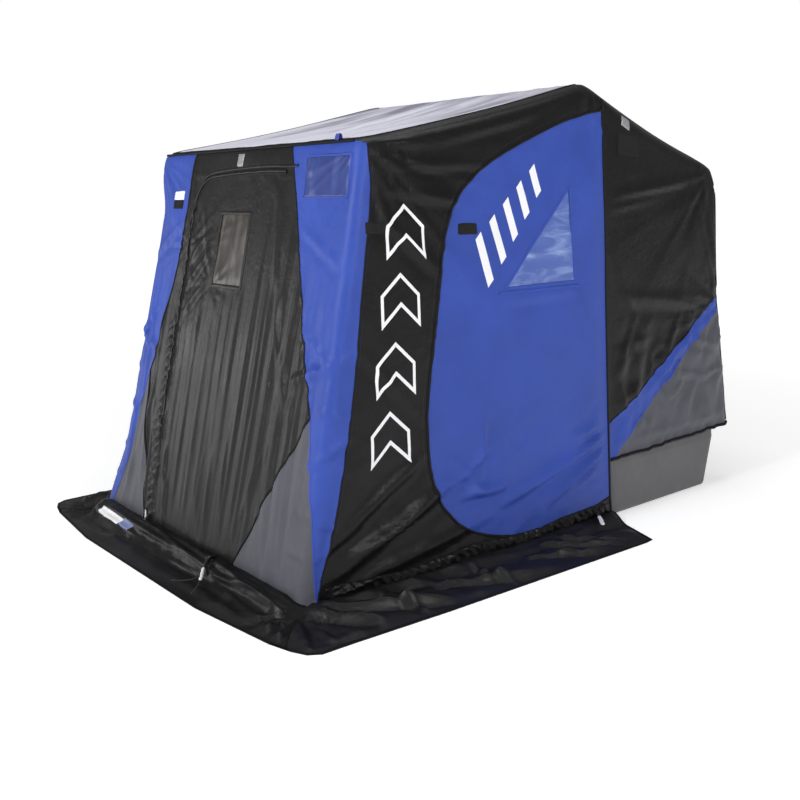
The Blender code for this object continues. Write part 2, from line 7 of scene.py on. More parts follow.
import bmesh
import bpy
import numpy as np
from mathutils import Matrix, Vector
from mathutils.geometry import delaunay_2d_cdt
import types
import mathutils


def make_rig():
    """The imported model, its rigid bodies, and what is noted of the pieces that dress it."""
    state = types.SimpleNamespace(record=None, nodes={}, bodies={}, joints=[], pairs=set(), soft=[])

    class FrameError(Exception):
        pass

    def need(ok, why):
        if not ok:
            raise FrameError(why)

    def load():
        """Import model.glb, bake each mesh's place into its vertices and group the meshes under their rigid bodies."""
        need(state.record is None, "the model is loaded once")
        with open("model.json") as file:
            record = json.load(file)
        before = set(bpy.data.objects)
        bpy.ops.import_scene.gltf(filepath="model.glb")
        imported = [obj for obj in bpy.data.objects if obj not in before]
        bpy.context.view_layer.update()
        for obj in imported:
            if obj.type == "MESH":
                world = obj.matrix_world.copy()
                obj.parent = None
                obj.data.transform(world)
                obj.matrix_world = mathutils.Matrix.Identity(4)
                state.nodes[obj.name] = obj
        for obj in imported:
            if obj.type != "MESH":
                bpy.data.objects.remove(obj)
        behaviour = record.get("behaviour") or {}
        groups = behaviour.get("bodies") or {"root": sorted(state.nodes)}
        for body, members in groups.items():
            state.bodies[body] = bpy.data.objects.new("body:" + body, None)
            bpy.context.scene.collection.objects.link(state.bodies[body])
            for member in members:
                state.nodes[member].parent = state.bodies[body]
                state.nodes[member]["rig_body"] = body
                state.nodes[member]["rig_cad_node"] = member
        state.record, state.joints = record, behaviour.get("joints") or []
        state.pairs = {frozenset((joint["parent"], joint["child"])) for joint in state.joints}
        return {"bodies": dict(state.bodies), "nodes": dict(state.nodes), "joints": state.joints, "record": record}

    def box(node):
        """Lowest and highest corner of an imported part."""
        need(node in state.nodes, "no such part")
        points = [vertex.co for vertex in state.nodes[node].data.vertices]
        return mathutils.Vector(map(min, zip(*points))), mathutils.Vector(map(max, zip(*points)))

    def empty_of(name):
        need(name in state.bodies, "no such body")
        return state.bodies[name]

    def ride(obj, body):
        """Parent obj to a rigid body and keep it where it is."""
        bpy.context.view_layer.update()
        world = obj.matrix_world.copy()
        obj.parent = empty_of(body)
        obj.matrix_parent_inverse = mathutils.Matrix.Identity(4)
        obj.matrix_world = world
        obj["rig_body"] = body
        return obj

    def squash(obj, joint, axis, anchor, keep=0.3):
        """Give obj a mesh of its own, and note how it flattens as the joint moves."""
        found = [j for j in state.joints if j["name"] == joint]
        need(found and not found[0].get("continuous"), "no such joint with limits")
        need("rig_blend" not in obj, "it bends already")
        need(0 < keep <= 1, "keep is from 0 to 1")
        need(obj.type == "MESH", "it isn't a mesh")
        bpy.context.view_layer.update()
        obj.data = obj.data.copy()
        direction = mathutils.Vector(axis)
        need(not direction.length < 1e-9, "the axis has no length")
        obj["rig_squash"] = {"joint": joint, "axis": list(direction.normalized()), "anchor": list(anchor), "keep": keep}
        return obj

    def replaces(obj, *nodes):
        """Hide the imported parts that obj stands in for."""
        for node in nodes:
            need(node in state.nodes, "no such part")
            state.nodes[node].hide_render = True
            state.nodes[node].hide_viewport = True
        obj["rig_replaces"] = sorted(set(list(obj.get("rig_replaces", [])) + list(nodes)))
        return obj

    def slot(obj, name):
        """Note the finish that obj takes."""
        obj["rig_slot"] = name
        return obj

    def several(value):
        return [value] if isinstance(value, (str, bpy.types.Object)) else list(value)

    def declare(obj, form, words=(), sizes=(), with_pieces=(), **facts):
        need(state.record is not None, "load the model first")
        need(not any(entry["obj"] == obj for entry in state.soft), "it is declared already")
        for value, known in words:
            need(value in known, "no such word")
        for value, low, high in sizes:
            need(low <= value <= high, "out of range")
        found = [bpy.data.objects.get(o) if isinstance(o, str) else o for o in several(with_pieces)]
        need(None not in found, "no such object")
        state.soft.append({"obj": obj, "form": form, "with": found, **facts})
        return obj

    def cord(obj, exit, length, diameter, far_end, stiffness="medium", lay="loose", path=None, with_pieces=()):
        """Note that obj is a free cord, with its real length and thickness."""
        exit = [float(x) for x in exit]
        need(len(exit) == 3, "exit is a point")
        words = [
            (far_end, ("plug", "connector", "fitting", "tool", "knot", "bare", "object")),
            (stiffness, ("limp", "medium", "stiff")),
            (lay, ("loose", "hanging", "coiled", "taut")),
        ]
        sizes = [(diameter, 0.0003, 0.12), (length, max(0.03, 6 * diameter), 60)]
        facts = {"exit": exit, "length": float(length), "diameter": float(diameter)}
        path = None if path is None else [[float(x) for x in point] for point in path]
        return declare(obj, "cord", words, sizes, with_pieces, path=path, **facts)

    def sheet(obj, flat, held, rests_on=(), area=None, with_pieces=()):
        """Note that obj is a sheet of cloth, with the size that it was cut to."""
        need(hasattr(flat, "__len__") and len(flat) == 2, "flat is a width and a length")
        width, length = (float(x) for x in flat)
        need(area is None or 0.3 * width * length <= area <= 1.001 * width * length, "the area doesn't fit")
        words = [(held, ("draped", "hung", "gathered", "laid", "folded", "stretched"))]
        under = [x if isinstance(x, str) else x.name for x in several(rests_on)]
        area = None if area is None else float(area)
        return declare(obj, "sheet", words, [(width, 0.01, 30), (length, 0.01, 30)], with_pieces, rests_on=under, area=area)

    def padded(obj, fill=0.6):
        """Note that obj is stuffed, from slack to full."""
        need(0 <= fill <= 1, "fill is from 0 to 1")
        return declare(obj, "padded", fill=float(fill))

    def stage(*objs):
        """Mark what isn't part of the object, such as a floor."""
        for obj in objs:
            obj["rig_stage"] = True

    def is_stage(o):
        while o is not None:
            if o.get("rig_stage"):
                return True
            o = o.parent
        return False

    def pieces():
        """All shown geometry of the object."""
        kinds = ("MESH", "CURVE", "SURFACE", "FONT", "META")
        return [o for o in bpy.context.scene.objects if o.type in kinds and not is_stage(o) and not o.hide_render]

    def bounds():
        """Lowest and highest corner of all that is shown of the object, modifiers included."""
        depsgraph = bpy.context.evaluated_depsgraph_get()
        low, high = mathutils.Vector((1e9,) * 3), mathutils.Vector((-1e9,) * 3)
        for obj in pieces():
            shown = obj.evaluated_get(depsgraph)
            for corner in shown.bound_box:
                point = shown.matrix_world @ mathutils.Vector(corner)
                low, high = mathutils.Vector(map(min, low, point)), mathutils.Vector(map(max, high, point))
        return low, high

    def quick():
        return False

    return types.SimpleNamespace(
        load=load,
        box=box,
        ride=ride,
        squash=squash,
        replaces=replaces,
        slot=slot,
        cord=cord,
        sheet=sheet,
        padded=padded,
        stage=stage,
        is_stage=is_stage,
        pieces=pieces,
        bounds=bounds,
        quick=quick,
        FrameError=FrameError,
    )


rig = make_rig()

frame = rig.load()
CAD_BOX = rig.bounds()

# ---- the tent's form, as in the CAD source ----
MID_Y = 1.276
# Side outline: foot, front bow, peak bow, rear bow, and two points down the rear wall.
PROFILE = np.array([(0.0, 0.0), (0.343, 1.725), (1.672, 2.037), (2.782, 1.690), (2.755, 1.02),
                    (2.806, 0.312)])
FRONT_TOP = float(PROFILE[1][1])
# Half width, y against x: at the foot, and 2 m up.
WALL_FOOT = ([0.0, 0.3, 0.6, 1.2, 1.8, 2.78], [0.83, 0.851, 0.865, 0.868, 0.868, 0.885])
WALL_HIGH = ([0.0, 0.343, 1.63, 2.76], [0.775, 0.772, 0.762, 0.72])
HUB = (1.76, 0.46)                  # (y, z) of the axle that every bow turns on
SLOPE = PROFILE[1][0] / PROFILE[1][1]
SEAM_Y = 1.775                      # seam behind the side doors
FOOT_Z = 0.012
EDGE_R = (0.042, 0.060)             # rounding of the upright edges, and of those along the roof
CENTRE = np.array([0.0, 1.45 - MID_Y, 0.9])     # a point inside, which the tent's faces face away from
CLOTH_T = 0.0016
STEP = 0.03 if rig.quick() else 0.02     # size of the cloth's triangles

# ---- outlines: (y, z) on the sides, (x, z) on the front, (x, y) on the ground ----
DOOR = [(1.772, 0.108), (1.772, 1.922), (1.62, 1.888), (1.468, 1.854), (1.251, 1.775),
        (1.016, 1.675), (0.905, 1.603), (0.815, 1.522), (0.756, 1.420), (0.722, 1.286),
        (0.682, 1.031), (0.632, 0.780), (0.612, 0.605), (0.622, 0.425), (0.677, 0.294),
        (0.763, 0.194), (0.868, 0.132), (1.036, 0.080), (1.227, 0.060), (1.429, 0.060),
        (1.592, 0.074)]
SIDE_WINDOW = [(1.078, 1.140), (1.530, 1.146), (1.499, 1.558)]
# The blue corner strips: distance round the corner, back along the side and in over the front.
STRIP_SIDE = [(0.074, FOOT_Z), (0.075, 0.125), (0.088, 0.23), (0.100, 0.35), (0.106, 0.50),
              (0.109, 0.65), (0.109, 0.82), (0.107, 0.90), (0.098, 0.99), (0.088, 1.10),
              (0.083, 1.21), (0.077, 1.32), (0.074, 1.45), (0.070, 1.54), (0.060, 1.59),
              (0.042, 1.65), (0.028, 1.72)]
RIGHT, LEFT = 1, -1
TAG = {RIGHT: "R", LEFT: "L"}
STRIP_IN = {
    RIGHT: [(0.072, FOOT_Z), (0.060, 0.07), (0.044, 0.135), (0.022, 0.245), (-0.004, 0.355),
            (-0.026, 0.41), (-0.040, 0.47), (-0.062, 0.56), (-0.082, 0.65), (-0.095, 0.70),
            (-0.114, 0.77), (-0.145, 0.82), (-0.166, 0.87), (-0.196, 0.97), (-0.232, 1.08),
            (-0.265, 1.20), (-0.328, 1.37), (-0.364, 1.48), (-0.408, 1.60), (-0.450, 1.72)],
    LEFT: [(-0.06, FOOT_Z), (-0.085, 0.107), (-0.118, 0.27), (-0.130, 0.40), (-0.150, 0.53),
           (-0.177, 0.64), (-0.202, 0.713), (-0.228, 0.783), (-0.255, 0.88), (-0.280, 0.99),
           (-0.310, 1.12), (-0.335, 1.28), (-0.343, 1.45), (-0.340, 1.60), (-0.345, 1.72)]}
# The grey gusset at the strip's foot: its highest point, and how far its foot is from the middle.
GUSSET_TOP = 0.69
GUSSET_FOOT = {RIGHT: 0.345, LEFT: 0.400}
FRONT_WINDOW = [(-0.125, 1.145), (0.100, 1.145), (0.095, 1.44), (-0.130, 1.44)]
# The front door's edges: its zip, its hinge, its foot and the zip along its head.
DOOR_LEFT, DOOR_RIGHT, DOOR_LOW, DOOR_TOP = -0.381, 0.3835, 0.045, 1.615
# The blue stripe across the rear side: its upper and lower edges.
STRIPE = [(SEAM_Y - 0.01, 0.450), (2.06, 0.606), (2.30, 0.760), (2.406, 0.812), (2.53, 0.888),
          (2.70, 0.985), (2.82, 1.030)]
STRIPE_LOW = [(1.80, 0.270), (1.90, 0.368), (2.144, 0.541), (2.479, 0.772), (2.82, 0.985)]
REAR_HEM = [(SEAM_Y, 0.283), (2.806, 0.318)]
# The skirt's outer edge: round its right side from the front, and the line that its front keeps to.
SKIRT_OUT = [(0.925, -0.182), (1.02, -0.158), (1.075, -0.132), (1.103, -0.09), (1.109, 0.05),
             (1.134, 0.464), (1.154, 1.0), (1.178, 1.62), (1.172, 1.676), (0.880, 1.79)]
SKIRT_FRONT_Y = -0.2285


# ---- cloth folds: heights over arrays of points ----
def smooth(x, a, b):
    """0 below a, 1 above b, and an easy slope between."""
    t = np.clip((x - a) / (b - a), 0, 1)
    return t * t * (3 - 2 * t)


def noise(u, v, seed):
    """Smooth noise from -1 to 1 with a cell of 1."""
    table = np.random.default_rng(seed).uniform(-1, 1, (64, 64))
    i, j = np.floor(u).astype(int), np.floor(v).astype(int)
    fu, fv = u - i, v - j
    fu, fv = fu * fu * (3 - 2 * fu), fv * fv * (3 - 2 * fv)
    low = table[i % 64, j % 64] * (1 - fu) + table[(i + 1) % 64, j % 64] * fu
    high = table[i % 64, (j + 1) % 64] * (1 - fu) + table[(i + 1) % 64, (j + 1) % 64] * fu
    return low * (1 - fv) + high * fv


def creases(u, v, seed):
    """Sharp-crested noise, from -1 to 1."""
    return 1 - 2 * np.abs(noise(u, v, seed))


def fold(p, a, b, width, height):
    """A fold from a to b: a crest with a trough beside it, fading at both ends."""
    a, d = np.array(a, float), np.subtract(b, a)
    size = np.hypot(*d)
    t = (p - a) @ d / size ** 2
    off = (p - a) @ np.array([-d[1], d[0]]) / size / width
    fade = np.sin(np.pi * np.clip(t, 0, 1)) ** 0.7
    return height * fade * (np.exp(-off ** 2) - 0.6 * np.exp(-(off + 1.8) ** 2))


def folds(p, *rows):
    """Folds from rows of (start, end, width, height), added up."""
    return sum(fold(p, *row) for row in rows)


def fan(p, centre, reach, height, spokes, seed):
    """Wrinkles that spread from a point where the cloth is pulled."""
    d = p - np.array(centre, float)
    angle, far = np.arctan2(d[:, 1], d[:, 0]), np.hypot(*d.T)
    waves = creases(angle * spokes / 2, far * 1.2, seed)
    return height * waves * np.exp(-far / reach) * smooth(far, 0.01, 0.10)


def to_path(p, path):
    """Distance from each point to a path, and how far along the path that is."""
    best, along, start = np.full(len(p), 1e9), np.zeros(len(p)), 0.0
    for a, b in zip(path, path[1:]):
        a, d = np.array(a, float), np.subtract(b, a)
        size = np.hypot(*d)
        t = np.clip((p - a) @ d / size ** 2, 0, 1)
        far = np.hypot(*(p - a - t[:, None] * d).T)
        near = far < best
        best, along = np.where(near, far, best), np.where(near, start + t * size, along)
        start += size
    return best, along


def puckers(p, path, reach, height, pitch, seed):
    """Small puckers that a seam or zip draws into the cloth beside it."""
    far, along = to_path(p, path)
    return height * creases(along / pitch, far / reach, seed) * np.exp(-far / reach)


# ---- paths ----
def sampled(path, step, closed=False):
    """The path with points no more than step apart."""
    p = np.array(path, float)
    if closed:
        p = np.vstack([p, p[:1]])
    out = []
    for a, b in zip(p, p[1:]):
        n = max(1, int(math.ceil(np.linalg.norm(b - a) / step)))
        out += [tuple(a + (b - a) * k / n) for k in range(n)]
    return out if closed else out + [tuple(p[-1])]


def eased(path, passes=2):
    """An open path with its corners cut by Chaikin's rule and its ends kept."""
    p = np.array(path, float)
    for _ in range(passes):
        start, end = p[:-1], p[1:]
        q = np.stack([start * 0.75 + end * 0.25, start * 0.25 + end * 0.75], 1).reshape(-1, p.shape[1])
        p = np.vstack([p[:1], q[1:-1], p[-1:]])
    return [tuple(q) for q in p]


def grown(ring, by):
    """A closed ring moved out by a distance, its corners mitred."""
    p = np.array(ring, float)
    area = np.sum(p[:, 0] * np.roll(p[:, 1], -1) - np.roll(p[:, 0], -1) * p[:, 1])
    d = np.roll(p, -1, 0) - p
    n = np.stack([d[:, 1], -d[:, 0]], 1) / np.hypot(*d.T)[:, None] * np.sign(area)
    before = np.roll(n, 1, 0)
    return [tuple(q) for q in p + by * (n + before) / (1 + (n * before).sum(1))[:, None]]


def headings(p, closed=False):
    """The direction of a path at each of its points."""
    ahead = np.roll(p, -1, 0) - np.roll(p, 1, 0)
    if not closed:
        ahead[0], ahead[-1] = p[1] - p[0], p[-1] - p[-2]
    return ahead


def leftward(ahead):
    """Unit vectors to the left of flat directions."""
    return np.stack([-ahead[:, 1], ahead[:, 0]], 1) / np.maximum(np.hypot(*ahead.T), 1e-9)[:, None]


def run_of(path):
    """Distance along a path at each of its points."""
    return np.concatenate([[0], np.cumsum(np.linalg.norm(np.diff(path, axis=0), axis=1))])


def beside(path, by):
    """An open path moved sideways, to its right for more than 0."""
    p = np.array(path, float)
    return [tuple(q) for q in p - by * leftward(headings(p))]


def rect(u0, v0, u1, v1):
    """A ring round a box, from its low corner to its high one."""
    return [(u0, v0), (u1, v0), (u1, v1), (u0, v1)]


def arc(cx, cy, r, a0, a1, steps=8):
    """Points round a circle, from one angle to another in degrees."""
    a = np.radians(np.linspace(a0, a1, steps + 1))
    return [tuple(q) for q in np.stack([cx + r * np.cos(a), cy + r * np.sin(a)], 1)]


# ---- the walls: flat planes, rounded where they meet ----
def wall_x(y, z):
    """Half the tent's width."""
    foot, high = np.interp(y, *WALL_FOOT), np.interp(y, *WALL_HIGH)
    return foot + (high - foot) * z / 2.0


def front_half(z):
    return wall_x(SLOPE * z, z)


def roof_z(y):
    return np.interp(y, PROFILE[1:4, 0], PROFILE[1:4, 1])


def rear_y(z):
    return np.interp(z, PROFILE[:2:-1, 1], PROFILE[:2:-1, 0])


def profile_depth(y, z):
    """Depth inside the tent's side outline, and the outward direction there."""
    depths, outs = [], []
    for a, b in zip(PROFILE[:3], PROFILE[1:4]):
        d = (b - a) / np.hypot(*(b - a))
        out = np.array([-d[1], d[0]])
        depths.append(-((y - a[0]) * out[0] + (z - a[1]) * out[1]))
        outs.append(out)
    depths.append(rear_y(z) - y)
    outs.append(np.array([1.0, 0.0]))
    depths, blur = np.array(depths), 0.010 + 0.028 * smooth(y, 2.2, 2.7)
    least = depths.min(0)
    weight = np.exp(-(depths - least) / blur)
    out = (weight[:, :, None] * np.array(outs)[:, None]).sum(0)
    out /= np.linalg.norm(out, axis=1)[:, None]
    return least - blur * np.log(weight.sum(0)), out


def shell(x, y, z, lift):
    """Points of the tent, rounded along its side edges, slack between the bows, lifted off its face."""
    side = np.sign(x)
    u = wall_x(y, z) - np.abs(x)
    v, out = profile_depth(y, z)
    r = EDGE_R[0] + (EDGE_R[1] - EDGE_R[0]) * smooth(z, 1.56, 1.78)
    wu, wv = np.minimum(u - r, 0), np.minimum(v - r, 0)
    size = np.maximum(np.hypot(wu, wv), 1e-9)
    du = np.where(wu < 0, r + wu * r / size - u, 0)
    dv = np.where(wv < 0, r + wv * r / size - v, 0)
    nu, nv = -wu / size, -wv / size
    p = np.stack([x - side * du, y - out[:, 0] * dv, z - out[:, 1] * dv], 1)
    n = np.stack([side * nu, out[:, 0] * nv, out[:, 1] * nv], 1)
    n /= np.maximum(np.linalg.norm(n, axis=1), 1e-9)[:, None]
    span_1, span_2 = (np.sin(np.pi * np.clip((y - a) / (b - a), 0, 1))
                      for a, b in (PROFILE[1:3, 0], PROFILE[2:4, 0]))
    front_sag, rear_sag, fade = 0.018, 0.024, 0.30
    slack = (front_sag * span_1 + rear_sag * span_2) * np.exp(-np.hypot(u, roof_z(y) - z) / fade)
    p -= np.stack([side * slack * 0.25, 0 * slack, slack], 1)
    # The far front corner hangs slack and falls in between the ground bar and the bow.
    pull = 0.105 * smooth(1.70 - z, 0.0, 0.28) * smooth(z, 0.0, 0.45)
    pull = pull * (side < 0) * smooth(1.4 - y, 0.0, 0.4)
    p[:, 0] += pull * np.exp(-(np.maximum(u, 0) / 0.22) ** 1.5 - (np.maximum(v, 0) / 0.30) ** 1.5)
    return p + n * np.reshape(lift, (-1, 1)) - (0.0, MID_Y, 0.0)


def side_part(y, z):
    """Folds of the side walls: tight at the bows, slack at the foot, crumpled behind the seam."""
    p = np.stack([y, z], 1)
    before = smooth(SEAM_Y - y, 0.0, 0.12)
    behind = smooth(y - SEAM_Y, 0.0, 0.12)
    far, along = to_path(p, DOOR_CURVE)
    w = 0.004 * creases(y * 1.3 + z * 0.9, z * 1.1 - y * 0.8, 3) * smooth(z, 0.05, 0.5)
    w += fan(p, (0.36, 1.70), 0.42, 0.011, 14, 4) + fan(p, (0.06, 0.05), 0.40, 0.013, 11, 5)
    w += fan(p, (1.68, 2.02), 0.34, 0.012, 13, 6) + fan(p, (2.73, 1.66), 0.40, 0.009, 12, 7)
    w += 0.0025 * creases(along / 0.05, far / 0.06, 8) * np.exp(-far / 0.05) * before
    w += puckers(p, [(0.0, 0.02), (SEAM_Y, 0.02)], 0.05, 0.009, 0.034, 9)
    w += folds(p,
        ((0.08, 0.10), (0.80, 0.40), 0.028, 0.028), ((0.16, 0.07), (1.02, 0.20), 0.022, 0.016),
        ((0.10, 0.22), (0.62, 0.52), 0.022, 0.014), ((0.12, 0.16), (0.74, 0.33), 0.012, 0.012),
        ((0.45, 1.64), (1.02, 1.655), 0.018, 0.010), ((0.40, 1.55), (0.85, 1.50), 0.020, 0.009),
        ((0.40, 1.45), (0.74, 1.20), 0.022, 0.008), ((0.30, 0.95), (0.62, 0.62), 0.020, 0.007),
        ((0.70, 1.74), (1.30, 1.88), 0.020, 0.007), ((0.76, 0.31), (1.06, 0.30), 0.018, 0.030),
        ((1.00, 0.22), (1.76, 0.42), 0.022, 0.040), ((1.30, 0.16), (1.77, 0.36), 0.014, 0.020),
        ((0.74, 0.34), (0.98, 0.50), 0.014, 0.016), ((1.52, 0.20), (1.77, 0.33), 0.010, 0.012),
        ((1.45, 0.44), (1.77, 0.47), 0.016, 0.014), ((0.70, 0.50), (0.95, 0.26), 0.022, 0.012),
        ((1.35, 0.18), (1.76, 0.27), 0.016, 0.010), ((0.90, 0.34), (0.92, 0.60), 0.018, 0.014),
        ((1.30, 0.30), (1.72, 0.52), 0.030, 0.009), ((1.02, 1.08), (1.56, 1.10), 0.018, 0.006),
        ((1.52, 1.12), (1.70, 0.80), 0.030, 0.006)) * before
    w += folds(p,
        ((1.84, 0.42), (2.60, 0.90), 0.018, 0.011), ((1.80, 0.38), (2.30, 0.66), 0.014, 0.008),
        ((1.85, 1.05), (2.55, 0.98), 0.030, 0.008), ((1.95, 0.62), (2.05, 0.40), 0.012, 0.008),
        ((1.82, 1.52), (2.50, 1.62), 0.022, 0.010), ((1.80, 1.46), (2.36, 1.55), 0.018, 0.008),
        ((2.24, 0.52), (2.40, 0.60), 0.014, 0.016), ((2.34, 0.63), (2.56, 0.60), 0.014, 0.016),
        ((2.50, 0.58), (2.76, 0.64), 0.014, 0.014), ((2.45, 0.80), (2.72, 0.74), 0.016, 0.013),
        ((2.16, 0.50), (2.24, 0.44), 0.012, 0.010), ((1.80, 1.30), (2.10, 0.75), 0.024, 0.007),
        ((1.86, 0.354), (2.74, 0.372), 0.018, 0.010)) * behind
    w += fan(p, (2.78, 0.95), 0.34, 0.012, 14, 10) * behind
    w += 0.010 * creases(y * 6 + z * 2, z * 6 - y * 3, 11) * behind * smooth(0.95 - z, 0.0, 0.4)
    w += 0.005 * creases(y * 13 - z * 9, z * 4 + y * 3, 12) * behind * smooth(1.02 - z, 0.0, 0.2)
    # The door bellies, and the cloth lies tight along the seam behind it.
    w += 0.012 * smooth(far, 0.0, 0.40) * before * smooth(y, 0.6, 0.9)
    # Cloth can only fall in as far as the frame and the sled's rim behind it.
    free = 0.003
    kept = np.where(y > SEAM_Y - 0.05, 0.08, 0.30)
    w = np.where(w < -free, (w + free) * kept - free, w)
    w += 0.010 * np.abs(creases(y * 6 + z * 4, z * 7 - y * 5, 13)) * behind * smooth(1.0 - z, 0.0, 0.3)
    w += 0.006 * np.abs(creases(y * 5 + z * 3, z * 9 - y * 4, 14)) * before * smooth(0.75 - z, 0.0, 0.35)
    return w


def pleats(x, z):
    """Long upright pleats of slack cloth across the front."""
    drift, w = 0.03 * noise(x * 3, z * 1.3, 20), 0
    for height, pitch, seed in ((0.0060, 0.105, 1), (0.0052, 0.062, 2), (0.0030, 0.036, 3)):
        swell = 0.55 + 0.45 * noise(x * 5, z * 1.1, 30 + seed)
        w = w + height * swell * np.sin(2 * np.pi * (x + drift) / pitch + 2.1 * seed)
    return w


def front_part(x, z):
    """Folds of the front wall and its door."""
    p = np.stack([x, z], 1)
    w = pleats(x, z) * smooth(z, 0.03, 0.25) * smooth(1.60 - z, 0.0, 0.35)
    w *= 0.35 + 0.65 * smooth(1.28 - z, 0, 0.35)
    w *= 0.70 + 0.45 * smooth(x, 0.0, 0.35)
    w += 0.005 * creases(x * 4 + z * 1.5, z * 2.2 - x, 21)
    window, _ = to_path(p, FRONT_WINDOW + FRONT_WINDOW[:1])
    w *= 0.25 + 0.75 * smooth(window, 0.0, 0.06)
    w += fan(p, (-0.38, 1.30), 0.18, 0.008, 10, 22) * smooth(0.2 - x, 0, 0.1)
    w += fan(p, (-0.14, 1.14), 0.12, 0.006, 8, 23)
    w += puckers(p, [(DOOR_LEFT, 0.05), (DOOR_LEFT, 1.45)], 0.035, 0.006, 0.035, 24)
    w += puckers(p, [(-0.5, DOOR_TOP), (0.5, DOOR_TOP)], 0.03, 0.003, 0.05, 25)
    w += folds(p,
        ((0.43, 0.95), (0.62, 0.62), 0.028, 0.007), ((0.34, 0.20), (0.47, 0.56), 0.018, 0.006),
        ((-0.36, 1.22), (-0.17, 1.40), 0.014, 0.007), ((-0.37, 1.10), (-0.16, 1.30), 0.014, 0.007),
        ((-0.37, 0.98), (-0.14, 1.18), 0.016, 0.007), ((-0.30, 1.48), (-0.16, 1.18), 0.014, 0.005),
        ((0.30, 1.55), (0.36, 1.10), 0.018, 0.006), ((0.36, 1.25), (0.47, 0.85), 0.018, 0.006),
        ((-0.33, 0.42), (-0.22, 0.06), 0.018, 0.016), ((-0.50, 0.62), (-0.42, 0.10), 0.018, 0.010),
        ((0.05, 0.60), (0.11, 0.08), 0.014, 0.008), ((0.16, 0.70), (0.22, 0.08), 0.014, 0.009))
    return w


def strip_part(s, a, z):
    """Folds of the corner strips and their gussets."""
    p = np.stack([a, z], 1)
    w = 0.0045 * creases(a * 3 + z * 2.2, z * 3.2 - a + 5 * s, 40) * smooth(z, 0.03, 0.3)
    w += folds(p,
        ((-0.28, 0.80), (0.12, 0.94), 0.022, 0.017), ((-0.12, 0.50), (0.14, 0.64), 0.016, 0.012),
        ((-0.22, 1.02), (0.04, 0.86), 0.018, 0.011), ((-0.10, 0.38), (0.12, 0.30), 0.014, 0.010),
        ((-0.36, 1.42), (0.04, 1.22), 0.018, 0.007), ((-0.08, 0.74), (0.12, 0.70), 0.014, 0.009),
        ((-0.12, 0.22), (0.06, 0.20), 0.012, 0.007))
    gusset = smooth(-a, 0.05, 0.12) * smooth(GUSSET_TOP - z, 0.0, 0.2)
    w += 0.009 * creases(a * 10 + 1.3 * z, z * 2.0 + 3 * s, 42) * gusset
    w += fan(p, (-0.02, 1.70), 0.22, 0.007, 9, 41)
    return w * (0.30 + 0.70 * smooth(np.abs(a), 0.0, 0.07))


def tent_folds(s, a, z):
    """Folds of the front, corners and sides as one cloth. a is the distance round
    the corner of side s: less than 0 on the front, more than 0 back along the side."""
    x = s * (front_half(z) + np.minimum(a, 0))
    y = SLOPE * z + np.maximum(a, 0)
    w = front_part(x, z) * smooth(-a, 0.0, 0.12)
    w += side_part(y, z) * smooth(a, 0.0, 0.12)
    w += strip_part(s, a, z) * (1 - smooth(np.abs(a), 0.22, 0.42))
    w *= smooth(np.where(a > 0, roof_z(y), PROFILE[1][1]) - z, 0.0, 0.05)
    w *= smooth(PROFILE[3][0] - y, 0.0, 0.05) * 0.9 + 0.1
    return np.where(w < 0, 0.35 * w, w)


def on_side(s):
    def place(p, lift=0.0):
        y, z = p[:, 0], p[:, 1]
        return shell(s * wall_x(y, z), y, z, tent_folds(s, y - SLOPE * z, z) + lift)
    return place


def on_strip(s):
    def place(p, lift=0.0):
        a, z = p[:, 0], p[:, 1]
        y = SLOPE * z + np.maximum(a, 0)
        x = wall_x(y, z) + np.minimum(a, 0)
        return shell(s * x, y, z, tent_folds(s, a, z) + lift)
    return place


def on_front(p, lift=0.0):
    x, z = p[:, 0] + 1e-7, p[:, 1]
    right = tent_folds(1, x - front_half(z), z)
    left = tent_folds(-1, -x - front_half(z), z)
    return shell(x, SLOPE * z, z, np.where(x > 0, right, left) + lift)


def on_roof(i):
    """v runs from 0 to 1 between the outline's corners i and i + 1."""
    def place(p, lift=0.0):
        x, v = p[:, 0] + 1e-7, p[:, 1]
        q = PROFILE[i] + (PROFILE[i + 1] - PROFILE[i]) * v[:, None]
        inward = smooth(wall_x(q[:, 0], q[:, 1]) - np.abs(x), 0.0, 0.10)
        ends = smooth(v, 0.0, 0.08) * smooth(1 - v, 0.0, 0.08)
        w = 0.007 * creases(x * 6 + 0.5 * v, v * 0.7 + 3 * i, 50) * ends * inward
        w += 0.004 * creases(x * 13 - 0.6 * v, v * 0.9, 51) * ends * inward
        w -= 0.030 * np.sin(np.pi * v) * smooth(0.74 - np.abs(x), 0.0, 0.40)
        return shell(x, q[:, 0], q[:, 1], w + lift)
    return place


def on_rear(p, lift=0.0):
    x, z = p[:, 0] + 1e-7, p[:, 1]
    y = rear_y(z)
    w = 0.005 * creases(x * 2 + z, z * 1.6, 60) + fan(p, (-0.7, 1.62), 0.3, 0.009, 12, 61)
    w += fan(p, (0.7, 1.62), 0.3, 0.009, 12, 62)
    w += puckers(p, [(-0.9, 0.31), (0.9, 0.31)], 0.06, 0.006, 0.06, 63)
    w += folds(p,
        ((-0.80, 0.45), (-0.20, 0.90), 0.030, 0.010), ((0.82, 0.50), (0.25, 0.85), 0.030, 0.010),
        ((-0.30, 1.55), (0.10, 0.70), 0.035, 0.007), ((0.45, 1.50), (0.30, 0.60), 0.030, 0.007))
    w *= smooth(wall_x(y, z) - np.abs(x), 0.0, 0.08) * smooth(PROFILE[3][1] - z, 0.0, 0.06)
    return shell(x, y, z, np.where(w < 0, 0.35 * w, w) + lift)


